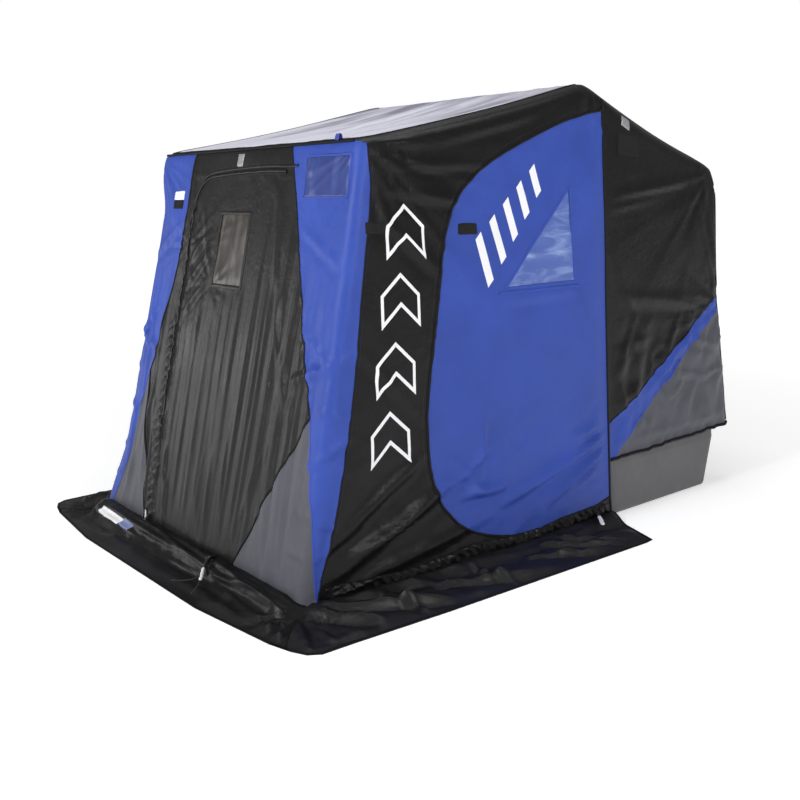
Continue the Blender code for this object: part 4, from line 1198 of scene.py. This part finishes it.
def side_walls(s):
    """A side from the corner strip to the seam behind the door, with the door, its window and prints."""
    t = TAG[s]
    edge = [(SLOPE * z + a, z) for a, z in STRIP_SIDE]
    top = [(0.375, float(roof_z(0.375))), tuple(PROFILE[2]), (SEAM_Y, float(roof_z(SEAM_Y)))]
    ring, door = edge + top + [(SEAM_Y, FOOT_Z)], DOOR_CURVE
    lines = [door + door[:1]] + [q + q[:1] for q in CHEVRON_OUT + CHEVRON_IN + SLASHES]

    # The cloth is cut about halfway between the bows, in degrees up from the line ahead of the hub, and
    # below the first cut also at a reach from the hub, where the ground bow slides into its arms.
    first_cut, second_cut, arm_reach = 14, 63.5, 0.95

    def which(p):
        reach = np.hypot(HUB[0] - p[:, 0], p[:, 1] - HUB[1])
        angle = np.degrees(np.arctan2(p[:, 1] - HUB[1], HUB[0] - p[:, 0]))
        low = np.where(reach < arm_reach, 0, 1)
        out = np.where(angle < first_cut, low, np.where(angle < second_cut, 2, 3))
        return np.where(inside(p, door), 4, out)

    def paint(p):
        out = np.where(inside(p, door), IN_BLUE, IN_BLACK)
        for a, b in zip(CHEVRON_OUT, CHEVRON_IN):
            out[inside(p, a) & ~inside(p, b)] = IN_WHITE
        for q in SLASHES:
            out[inside(p, q)] = IN_WHITE
        return out

    face = on_side(s)
    parts = [P[k + t] for k in ("side_0", "side_1", "side_2", "side_3", "door")]
    cloth(face, [ring, SIDE_WINDOW], MATS, parts, lines, paint, which)
    d = P["door" + t]
    # Door: binding on its curved edge, thread inside and outside that, and the seam behind.
    band("door_binding_" + t, face, door, 0.012, "tape", d, 0.0045)
    stitches("door_thread_" + t, face, beside(door, -0.012), d, mat="web")
    thread = sampled(beside(door, 0.026), 0.02)
    stitches("door_flap_thread_high_" + t, face, [q for q in thread if q[1] > 0.6], P["side_2" + t])
    stitches("door_flap_thread_low_" + t, face, [q for q in thread if q[1] <= 0.6], P["side_0" + t])
    for name, z0, z1, key in (("door_hinge_seam_", 0.46, 1.97, "rear_1"),
                              ("door_foot_seam_", 0.03, 0.46, "side_0")):
        line = [(SEAM_Y - 0.004, z0), (SEAM_Y - 0.004, z1)]
        band(name + t, face, line, 0.014, "tape", P[key + t], 0.004)
    # Window: film, its hem, a row of thread, and the tuck below it.
    film("side_window_film_" + t, face, grown(SIDE_WINDOW, 0.012), 0.012,
         lambda y, z: 0.0028 * creases(y * 5 + z * 3, z * 16, 92), 0.0035, "side_pane", d,
         "side_window_" + t, "side_door_cloth_" + t)
    band("side_window_hem_" + t, face, grown(SIDE_WINDOW, 0.003), 0.012, "blue", d, 0.003, True, 0.008)
    stitches("side_window_thread_" + t, face, grown(SIDE_WINDOW, 0.007), d, True, mat="thread")
    band("side_window_tuck_" + t, face, [(1.03, 1.118), (1.56, 1.124)], 0.012, "blue", d, 0.003)
    # Hook-and-loop tabs that hold the rolled door.
    for k, ring, part in (("a", rect(0.340, 1.375, 0.424, 1.420), P["side_2" + t]),
                          ("b", rect(0.812, 1.367, 0.920, 1.415), d)):
        patch("loop_tab_%s_%s" % (k, t), face, ring, "hook", part, 0.0040)
    # The gathered zip along the foot.
    for k, y0, y1, key in (("fore", 0.10, 0.92, "side_1"), ("aft", 0.86, 1.765, "side_0")):
        line = [(y, 0.052 + 0.008 * math.sin(9 * y)) for y in np.linspace(y0, y1, 12)]
        ruffle("foot_zip_%s_%s" % (k, t), face, line, 0.062, 0.017, 0.046, 0.9, "black", P[key + t],
               93 + s, 0.024)


def rear_sides(s):
    """The side behind the seam, with the blue stripe across it."""
    t, face = TAG[s], on_side(s)
    ring = REAR_HEM + [tuple(PROFILE[4]), tuple(PROFILE[3]), (SEAM_Y, float(roof_z(SEAM_Y)))]
    corners = [(2.82, 3.0), (1.70, 3.0)]        # well above the tent
    upper, above = STRIPE + corners, STRIPE_LOW + corners + [(1.70, 0.270)]
    split = arc(*HUB, REAR_SPLIT, -80, 95, 39)
    split = [q for q in split if SEAM_Y < q[0] and inside(np.array([q]), ring)[0]]

    def paint(p):
        return np.where(inside(p, upper), IN_BLACK, np.where(inside(p, above), IN_BLUE, IN_GREY))

    def which(p):
        return (np.hypot(p[:, 0] - HUB[0], p[:, 1] - HUB[1]) > REAR_SPLIT).astype(int)

    parts = [P["rear_0" + t], P["rear_1" + t]]
    cloth(face, [ring], MATS, parts, [STRIPE, STRIPE_LOW, split], paint, which)
    band("stripe_seam_high_" + t, face, STRIPE[:5], 0.006, "tape", parts[0], 0.002)
    band("stripe_seam_low_" + t, face, STRIPE_LOW[1:4], 0.006, "web", parts[0], 0.0016)
    patch("vent_patch_" + t, face, rect(1.885, 1.722, 2.055, 1.832), "hook", parts[1], 0.0060)
    patch("reflector_rear_" + t, face, [(1.918, 1.868), (1.985, 1.846), (1.994, 1.900), (1.928, 1.922)],
          "reflect", parts[1], 0.0036)


def hem():
    """Piping round the bottom of the rear cloth, from one side door to the other."""
    for s, t in TAG.items():
        path = on_path(on_side(s), [(SEAM_Y + 0.01, 0.283), (2.796, 0.318)], 0.003)
        tube("hem_piping_" + t, path, 0.0075, "tape", P["rear_0" + t])
        edge = on_path(on_side(s), [(2.800, 0.33), (2.757, 1.02), (2.772, 1.55)], 0.001)
        tube("rear_edge_piping_" + t, edge, 0.0065, "tape", P["rear_1" + t])
    path = on_path(on_rear, [(-0.876, 0.318), (0.876, 0.318)], 0.003)
    tube("hem_piping_rear", path, 0.0075, "tape", P["rear"])


def rear_wall():
    """The rear wall, with the stripe carried round it."""
    edge = [(float(wall_x(rear_y(z), z)), z) for z in (0.318, 0.6, 1.02, PROFILE[3][1])]
    ring = edge + [(-x, z) for x, z in reversed(edge)]
    high, low = 0.975, 0.918            # edges of the blue stripe

    def paint(p):
        return np.where(p[:, 1] > high, IN_BLACK, np.where(p[:, 1] > low, IN_BLUE, IN_GREY))

    cloth(on_rear, [ring], MATS, [P["rear"]], [[(-0.86, z), (0.86, z)] for z in (high, low)], paint)
    for z, tag in ((high, "high"), (low, "low")):
        band("rear_stripe_seam_" + tag, on_rear, [(-0.84, z), (0.84, z)], 0.006, "tape", P["rear"], 0.002)


def gusset_apex(s):
    """Where along the strip's inner edge the gusset's top is."""
    return next(i for i, (_, z) in enumerate(STRIP_IN[s]) if z >= GUSSET_TOP)


def corner(s):
    """A front corner: the blue strip, with the grey gusset at its foot."""
    t, face = TAG[s], on_strip(s)
    inner = STRIP_IN[s]
    apex = gusset_apex(s)
    foot = (GUSSET_FOOT[s] - float(front_half(DOOR_LOW)), DOOR_LOW)
    ring = STRIP_SIDE + [(0.030, FRONT_TOP + 0.003), (0.0, FRONT_TOP), (inner[-1][0], FRONT_TOP)]
    ring += inner[:apex - 1:-1] + [foot, (foot[0], FOOT_Z)]
    seam = inner[:apex + 1]
    gusset = seam + [foot, (foot[0], FOOT_Z)]

    def paint(p):
        return np.where(inside(p, gusset), IN_GREY, IN_BLUE)

    part = P["strip" + t]
    cloth(face, [ring], MATS, [part], [seam], paint, step=STEP * 0.75, slot="fabric_blue")
    band("strip_seam_side_" + t, face, STRIP_SIDE, 0.007, "tape", part, 0.0022)
    band("gusset_seam_" + t, face, [inner[apex], foot], 0.010, "tape", part, 0.0035)
    band("gusset_edge_" + t, face, seam, 0.006, "web", part, 0.0018)
    stitches("strip_thread_" + t, face, beside(STRIP_SIDE, 0.010), part, mat="web", lift=0.0012)
    if s == RIGHT:
        pocket = rect(-0.325, 1.510, -0.050, 1.670)
        patch("strip_pocket", face, pocket, "pocket", part, 0.0030, wave=0.0012)
        band("strip_pocket_hem", face, pocket, 0.010, "blue", part, 0.0045, True)
        stitches("strip_pocket_thread", face, pocket, part, True, mat="web", lift=0.006)
    else:
        for name, z0, z1, mat in (("high", 1.505, 1.547, "print"), ("low", 1.463, 1.505, "hook")):
            patch("strip_label_" + name, face, rect(-0.290, z0, -0.180, z1), mat, part, 0.003)


def front_wall():
    """Black front wall, with the door and its window, all one cloth cut apart at the zip."""
    def side_edge(s):
        seam = [(s * (float(front_half(z)) + a), z) for a, z in STRIP_IN[s][gusset_apex(s):-1]]
        top = (s * (float(front_half(FRONT_TOP)) + STRIP_IN[s][-1][0]), FRONT_TOP)
        return [(s * GUSSET_FOOT[s], DOOR_LOW)] + seam + [top]

    right, left = side_edge(RIGHT), side_edge(LEFT)
    ring = right + left[::-1]
    ring = [(right[0][0], FOOT_Z)] + ring + [(left[0][0], FOOT_Z)]
    zip_line = [(DOOR_LEFT, DOOR_LOW), (DOOR_LEFT, 1.46)] + arc(-0.235, 1.46, 0.146, 180, 98, 6)
    zip_line += [(-0.08, DOOR_TOP), (0.20, DOOR_TOP + 0.004), (0.325, DOOR_TOP)]
    hinge = [(0.365, 1.56), (DOOR_RIGHT, 1.45), (DOOR_RIGHT, 0.13), (GUSSET_FOOT[RIGHT] + 0.004, DOOR_LOW)]
    door = zip_line + hinge

    def which(p):
        return inside(p, door).astype(int)

    d, f = P["door"], P["front"]
    # The front's cloth, hem, flap and header take the paler copy of the black nylon, which is painted light.
    cloth(on_front, [ring, FRONT_WINDOW], ["front"], [f, d], [door + door[:1]], None, which,
          step=STEP * 0.6, metric=(1.0, math.hypot(1, SLOPE)))
    film("front_window_film", on_front, grown(FRONT_WINDOW, 0.012), 0.010,
         lambda x, z: 0.0024 * creases(x * 14, z * 5 + x * 6, 95), 0.003, "pane", d, "front_window",
         "front_door_cloth")
    band("front_window_hem", on_front, grown(FRONT_WINDOW, 0.009), 0.018, "front", d, 0.003, True, 0.008)
    stitches("front_window_thread_in", on_front, grown(FRONT_WINDOW, 0.004), d, True)
    stitches("front_window_thread_out", on_front, grown(FRONT_WINDOW, 0.015), d, True)
    # The zip: tape, coil and the gathered flap beside it.
    band("zip_tape", on_front, zip_line, 0.026, "tape", f, 0.0020)
    path = on_path(on_front, zip_line, 0.0045, 0.0035)
    ribs = 0.0030 + 0.0007 * np.sin(np.arange(len(path)) * math.pi / 1.5)
    tube("zip_coil", path, ribs, "coil", f, 8)
    flap = [(-0.415, 1.00), (-0.425, 0.70), (-0.412, 0.45), (-0.385, 0.22), (-0.350, 0.055)]
    ruffle("zip_flap", on_front, flap, 0.078, 0.015, 0.044, 1.1, "front", f, 96)
    header = [(q[0], q[1] + 0.022) for q in eased(zip_line[1:] + [(0.40, DOOR_TOP)], passes=1)]
    band("header_seam", on_front, header, 0.012, "front", f, 0.004)
    stitches("header_thread", on_front, [(q[0], q[1] + 0.010) for q in header], f)
    foot = [(DOOR_LEFT + 0.04, 0.062), (-0.1, 0.052), (GUSSET_FOOT[RIGHT] - 0.01, 0.056)]
    band("door_foot_hem", on_front, foot, 0.020, "tape", d, 0.004, gather=0.008, pitch=0.02)
    patch("reflector_front", on_front, [(-0.070, 1.645), (-0.018, 1.645), (-0.016, 1.702), (-0.068, 1.702)],
          "reflect", f, 0.003)
    for s, t in TAG.items():
        seam = [(s * (float(front_half(z)) + a), z) for a, z in STRIP_IN[s] if z >= GUSSET_TOP]
        band("strip_seam_front_" + t, on_front, seam, 0.008, "tape", f, 0.0026)


def roof():
    """The pale roof, front and rear, with a black border along its edges."""
    edge = 0.055
    for i, tag in ((1, "front"), (2, "rear")):
        (y0, z0), (y1, z1) = PROFILE[i], PROFILE[i + 1]
        a, b = float(wall_x(y0, z0)), float(wall_x(y1, z1))
        length, part, whole = math.hypot(y1 - y0, z1 - z0), P["roof_%d" % i], on_roof(i)
        border = [(-a + edge, 0.03), (a - edge, 0.03),
                  (b - edge, length - 0.03), (-b + edge, length - 0.03)]

        def face(p, lift=0.0, whole=whole, length=length):
            return whole(p / (1.0, length), lift)

        def paint(p, border=border):
            return np.where(inside(p, border), 0, 1)

        cloth(face, [[(-a, 0.0), (a, 0.0), (b, length), (-b, length)]], ["roof", "black"], [part],
              [border + border[:1]], paint, slot="fabric_white")
        for s, t in TAG.items():
            seam = [(s * (a - edge), 0.03), (s * (b - edge), length - 0.03)]
            band("roof_seam_%s_%s" % (tag, t), face, seam, 0.008, "tape", part, 0.0026)
        band("roof_hem_" + tag, face, [(-a + 0.06, 0.03), (a - 0.06, 0.03)], 0.010, "tape", part, 0.0030)


def front_piping():
    """The webbing loop on the front corner, and the piping along the front edge of the roof."""
    half = float(front_half(FRONT_TOP))
    edge = on_path(on_front, [(-half + 0.05, FRONT_TOP - 0.004), (half - 0.05, FRONT_TOP - 0.004)], 0.003)
    tube("front_edge_piping", edge, 0.0055, "tape", P["front"])
    base, n = on_front(np.array([(0.60, FRONT_TOP - 0.012)]))[0], 15
    loop = [(0.012 * math.cos(a) + 0.03, 0.040 * math.sin(a)) for a in np.linspace(0, math.pi, n)]
    wide, thick = 0.0125, 0.0022
    rows = [[(base[0] + off, base[1] + u * (1 + 8 * grow), base[2] + w * (1 + 20 * grow)) for u, w in loop]
            for off, grow in ((-wide, 0), (wide, 0), (wide, thick), (-wide, thick))]
    points, faces = np.concatenate(rows), grid_faces(4, n, round_=True)
    obj = link("corner_loop", points, faces, ["web"])
    face_out(obj)
    P["front"].take(obj)


def skirt():
    """The skirt on the ground, seamed at its front corners and cut where each side's two bodies meet."""
    half_way, half_x = 0.90, 1.148      # where a side is cut, and the skirt's edge there
    below = (0.0, 0.0, -9.0)
    seam_x, seam_y, slope = 0.80, 0.03, 1.04
    seams = [[(s * seam_x, seam_y), (s * 0.99, -0.168)] for s in TAG]

    def which(p):
        ahead = (p[:, 1] - seam_y) < -(np.abs(p[:, 0]) - seam_x) * slope
        side = np.where(p[:, 0] > 0, 0, 2) + np.where(p[:, 1] < half_way, 0, 1)
        return np.where(ahead, 0, 1 + side)

    def hem_on(name, path, part):
        inset = [(x * 0.994, y * 0.994 + 0.001) for x, y in path]
        band("skirt_hem_" + name, on_ground, inset, 0.012, "tape", part, 0.0016, centre=below)

    parts = [P[key] for key in ("skirt_0", "skirt_1R", "skirt_2R", "skirt_1L", "skirt_2L")]
    cloth(on_ground, [SKIRT_IN + SKIRT_EDGE], ["skirt"], parts, seams, None, which, step=STEP * 0.7,
          centre=below)
    n = len(SKIRT_OUT)
    hem_on("front", SKIRT_EDGE[n - 2:n + 4], P["skirt_0"])
    for s, t in TAG.items():
        run = [(s * x, y) for x, y in SKIRT_OUT]
        hem_on("fore_" + t, [q for q in run if q[1] < 0.5] + [(s * half_x, half_way)], P["skirt_1" + t])
        hem_on("aft_" + t, [(s * half_x, half_way)] + [q for q in run if q[1] > half_way], P["skirt_2" + t])
        band("skirt_seam_" + t, on_ground, [(s * 0.815, 0.014), (s * 0.985, -0.160)], 0.010, "tape",
             P["skirt_0"], 0.002, centre=below)


SLEEVE = np.array([(0.012, 0.060), (-0.004, 0.070), (-0.026, 0.074), (-0.048, 0.064), (-0.066, 0.044),
                   (-0.082, 0.022), (-0.104, 0.008), (-0.128, 0.003)])


def on_sleeve(p, lift=0.0):
    """(x, distance down the sleeve over the ground bar), in long soft folds."""
    x, t = p[:, 0], p[:, 1]
    along, ahead = run_of(SLEEVE), 0.006
    y, z = np.interp(t, along, SLEEVE[:, 0]), np.interp(t, along, SLEEVE[:, 1])
    d = (np.interp(t + ahead, along, SLEEVE[:, 1]) - z) / ahead
    n = np.stack([0 * x, np.minimum(d, 0) - 0.15, np.sqrt(np.maximum(1 - d * d, 0.05))], 1)
    n /= np.linalg.norm(n, axis=1)[:, None]
    end = smooth(0.90 - np.abs(x), 0.0, 0.16)
    w = 0.005 * creases(x / 0.34 + t * 4, t / 0.024 + x * 0.9, 98)
    w += 0.002 * creases(x / 0.06, t / 0.03, 99)
    w += folds(p,
        ((-0.82, 0.055), (0.10, 0.085), 0.009, 0.012),
        ((-0.30, 0.040), (0.52, 0.100), 0.008, 0.010), ((0.20, 0.045), (0.86, 0.080), 0.009, 0.011),
        ((0.34, 0.10), (0.66, 0.06), 0.010, 0.010), ((-0.74, 0.10), (-0.20, 0.115), 0.008, 0.007),
        ((0.24, 0.02), (0.32, 0.12), 0.010, 0.010))
    w *= smooth(t, 0.0, 0.02) * smooth(along[-1] - t, 0.0, 0.03) * end
    sag = 0.008 * noise(x * 2.4, x * 0 + 1.0, 97)
    back = 0.10 * smooth(np.abs(x), 0.74, 0.90) ** 2
    q = np.stack([x, y + sag + back, 0.004 + z * (0.25 + 0.75 * end)], 1)
    q += n * np.reshape(w + lift, (-1, 1))
    q[:, 2] = np.maximum(q[:, 2], 0.0045)
    return q - (0.0, MID_Y, 0.0)


def ground_sleeve():
    """The sleeve over the ground bar along the foot of the front wall, its label and its zip pulls."""
    part, below, length = P["sill"], (0.0, 0.3, -3.0), float(run_of(SLEEVE)[-1])
    cloth(on_sleeve, [rect(-0.875, 0.0, 0.875, length)], ["black"], [part], step=STEP * 0.5, centre=below)
    for name, a, b, mat in (("white", -0.70, -0.47, "print"), ("blue", -0.468, -0.36, "label")):
        ring = [(a, 0.072), (b, 0.078), (b - 0.02, 0.118), (a - 0.02, 0.112)]
        patch("sleeve_label_" + name, on_sleeve, ring, mat, part, 0.0050, below)
    # The foot zip's slider, its two cords and the bright sleeve on the first.
    grip = on_sleeve(np.array([(0.275, 0.050)]), 0.006)[0]
    bar("foot_zip_slider", grip, (0.4, -0.5, 0.1), (0.022, 0.014, 0.009), "coil", part)
    for name, bends in (
            ("long", [(0.275, -0.050, 0.082), (0.300, -0.085, 0.062), (0.345, -0.120, 0.040),
                      (0.392, -0.165, 0.030), (0.415, -0.200, 0.024)]),
            ("short", [(0.270, -0.052, 0.082), (0.318, -0.100, 0.052), (0.322, -0.135, 0.034),
                       (0.285, -0.175, 0.028), (0.246, -0.196, 0.024)])):
        path, radius, on_it = cord_path(bends), 0.0026, {}
        cord = tube("zip_cord_" + name, path, radius, "cord", part, 8)
        if name == "long":
            sleeve = 0.0065 - 0.0015 * np.abs(np.linspace(-1, 1, 20)) ** 6
            on_it["with_pieces"] = [tube("zip_cord_ferrule", path[14:34], sleeve, "pull", part)]
        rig.cord(cord, exit=tuple(path[0]), length=float(run_of(path)[-1]), diameter=2 * radius,
                far_end="knot", lay="hanging", stiffness="limp", path=[tuple(q) for q in path], **on_it)
    for s, t in TAG.items():
        part = P["side_0" + t]
        at = Vector((s * 0.905, 1.625 - MID_Y, 0.062))
        bar("side_zip_slider_" + t, at, (s * 0.5, -0.3, -0.1), (0.026, 0.014, 0.010), "coil", part)
        bar("side_zip_pull_" + t, at + Vector((s * 0.056, -0.048, -0.004)), (s * 0.75, -0.65, -0.12),
            (0.090, 0.020, 0.006), "pull", part)


def zip_slider():
    """The front zip's slider and its pull. They travel with the zip, and fold away with the front cloth."""
    low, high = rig.box("front_zip_slider")
    at, part = (Vector(low) + Vector(high)) / 2, Part("front_zip", "front_zip", "front")
    body = bar("front_zip_body", at, (0.0, SLOPE, 1.0), (0.022, 0.013, 0.009), "metal", part, "zinc_steel")
    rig.replaces(body, "front_zip_slider")
    bar("front_zip_pull", at + Vector((0.001, -0.008, -0.021)), (0.06, -0.10, -1.0), (0.042, 0.009, 0.003),
        "pull", part, "zinc_steel")


def cord_path(points):
    """A smooth run of points in the frame through the cord's bends."""
    return np.array(sampled(eased([(x, y - MID_Y, z) for x, y, z in points], passes=3), 0.004))


def bar(name, at, ahead, size, mat, part, slot=None):
    """A small moulded bar with rounded ends and edges, its length along a direction."""
    ahead = Vector(ahead).normalized()
    turn = ahead.to_track_quat("X", "Z").to_matrix().to_4x4()
    rows, n = [], 28
    for z, inset in ((-0.5, 0.16), (-0.42, 0.04), (-0.2, 0.0), (0.2, 0.0), (0.42, 0.04), (0.5, 0.16)):
        for k in range(n):
            a = 2 * math.pi * k / n
            c, d = math.cos(a), math.sin(a)
            x = math.copysign(abs(c) ** 0.45, c) * (size[0] / 2 - inset * size[1])
            y = math.copysign(abs(d) ** 0.45, d) * (size[1] / 2 - inset * size[1]) * (1 - 0.12 * (c < 0))
            rows.append(turn @ Vector((x, y, z * size[2])) + Vector(at))
    faces = grid_faces(6, n, closed=True) + [tuple(range(n))[::-1], tuple(range(5 * n, 6 * n))]
    obj = link(name, rows, faces, [mat])
    face_out(obj)
    return part.take(obj, slot)


def seat_pad(name, size, channels):
    """A padded seat cover, centred on the origin: a box blown up by a cloth simulation, its side seam
    and its stitched channels held."""
    bm = bmesh.new()
    bmesh.ops.create_cube(bm, size=1.0, matrix=Matrix.Diagonal((*size, 1.0)))
    bmesh.ops.bevel(bm, geom=bm.edges[:], offset=min(size) * 0.30, segments=3, profile=0.6, affect="EDGES")
    mesh = bpy.data.meshes.new(name)
    bm.to_mesh(mesh)
    bm.free()
    obj = add(name, mesh)
    remesh = obj.modifiers.new("even", "REMESH")
    remesh.mode, remesh.voxel_size = "VOXEL", 0.010 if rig.quick() else 0.0055
    settle(obj)
    groove_deep, groove_wide = 0.0045, 0.007
    thin = int(np.argmin(size))
    wide = [i for i in range(3) if i != thin]
    p = np.array([v.co[:] for v in obj.data.vertices])
    near = np.min([np.abs(p[:, 0] - c) for c in channels], axis=0)
    ends = size[wide[1]] * 0.42 - np.abs(p[:, wide[1]])
    groove = np.exp(-(near / groove_wide) ** 2) * smooth(ends, 0.0, 0.02)
    p[:, thin] -= np.sign(p[:, thin]) * groove_deep * groove
    obj.data.vertices.foreach_set("co", p.ravel())
    held = (groove > 0.45) | (np.abs(p[:, thin]) < 0.0035)
    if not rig.quick():
        group = obj.vertex_groups.new(name="held")
        group.add([int(i) for i in np.flatnonzero(held)], 1.0, "REPLACE")
        last_frame, most_move = 20, 0.006
        fill = obj.modifiers.new("fill", "CLOTH")
        fill.settings.quality, fill.settings.mass = 6, 0.25
        fill.settings.tension_stiffness = fill.settings.compression_stiffness = 18
        fill.settings.bending_stiffness = 0.6
        fill.settings.use_pressure, fill.settings.uniform_pressure_force = True, 4.0
        fill.settings.effector_weights.gravity = 0.0
        fill.settings.vertex_group_mass = "held"
        fill.point_cache.frame_start, fill.point_cache.frame_end = 1, last_frame
        for frame_number in range(1, last_frame + 1):
            bpy.context.scene.frame_set(frame_number)
        shape = obj.evaluated_get(bpy.context.evaluated_depsgraph_get()).data
        q = np.array([v.co[:] for v in shape.vertices])
        obj.modifiers.clear()
        obj.vertex_groups.clear()
        bpy.context.scene.frame_set(1)
        move = q - p
        far = np.maximum(np.linalg.norm(move, axis=1), 1e-9)[:, None]
        p = p + move * np.minimum(far, most_move) / far
    else:
        inner = 1 - np.max([np.abs(p[:, i]) / (size[i] / 2) for i in wide], axis=0)
        p[:, thin] *= 1 + 0.16 * smooth(inner, 0.0, 0.4) * (1 - groove)
    along = np.arctan2(p[:, wide[1]], p[:, wide[0]])
    gathers = 0.0010 * creases(along * 6, p[:, wide[1]] * 30, 110) * np.exp(-near / 0.02)
    p[:, thin] += np.sign(p[:, thin]) * gathers
    obj.data.vertices.foreach_set("co", p.ravel())
    obj.modifiers.new("soft", "SUBSURF").levels = 1
    settle(obj)
    obj.data.shade_smooth()
    return obj


def settle(obj):
    """Bakes the object's modifiers into its mesh."""
    made = bpy.data.meshes.new_from_object(obj.evaluated_get(bpy.context.evaluated_depsgraph_get()))
    obj.modifiers.clear()
    obj.data = made


def seats():
    """The two padded seats: cushions and backs with a welt round them."""
    cushion = seat_pad("seat_cushion_pad_R", (0.326, 0.326, 0.042), (-0.055, 0.055))
    back = seat_pad("seat_back_pad_R", (0.314, 0.032, 0.312), (-0.052, 0.052))
    for pad, at, stands_for, body, flat in (
            (cushion, (0.36, 2.18, 0.3148), "seat_cushion_", "seat_", (0, 1)),
            (back, (0.36, 2.395, 0.506), None, "seat_back_", (0, 2))):
        size, corner_r = pad.dimensions, 0.022
        a, b = (size[i] / 2 - 0.001 - corner_r for i in flat)
        ring = []
        for turn, (cx, cy) in enumerate(((1, 1), (-1, 1), (-1, -1), (1, -1))):
            ring += arc(cx * a, cy * b, corner_r, 90 * turn, 90 * turn + 90)
        # The left pad is copied before either is declared, because a copy keeps what was declared.
        twin = add(pad.name[:-1] + "L", pad.data.copy())
        for s, t in TAG.items():
            obj = pad if s == RIGHT else twin
            centre = Vector((s * at[0], at[1] - MID_Y, at[2]))
            obj.data.materials.clear()
            obj.data.materials.append(M["seat"])
            if stands_for:
                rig.replaces(obj, stands_for + t)
            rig.padded(obj, fill=0.7)
            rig.slot(obj, "seat_vinyl")
            place = Part(obj.name, body + t, None)
            place.take(obj)
            obj.location = centre
            round_it = np.array(sampled(ring, 0.012, True))
            path = np.tile(np.array(centre), (len(round_it), 1))
            path[:, flat] += round_it
            tube(obj.name.replace("_pad_", "_welt_"), path, 0.0034, "welt", place, closed=True)


def build():
    """Everything in the scene, and the finishes of the CAD's own pieces."""
    camera()
    stage()
    for s in TAG:
        side_walls(s)
        rear_sides(s)
        corner(s)
    front_wall()
    roof()
    rear_wall()
    hem()
    front_piping()
    skirt()
    ground_sleeve()
    zip_slider()
    seats()
    finishes = {"bow": "steel", "arm": "steel", "post": "steel", "collar": "collar", "pan": "collar",
                "bracket": "steel", "bolt": "metal", "sled": "sled", "cushion": "seat", "back": "seat",
                "slider": "metal"}
    for name, obj in frame["nodes"].items():
        key = next((k for k in finishes if k in name), None)
        if key:
            obj.data.materials.clear()
            obj.data.materials.append(M[finishes[key]])


build()
with open("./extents.json", "w") as out:
    json.dump({"cad": [[float(c) for c in p] for p in CAD_BOX],
               "visual": [[float(c) for c in p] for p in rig.bounds()]}, out)
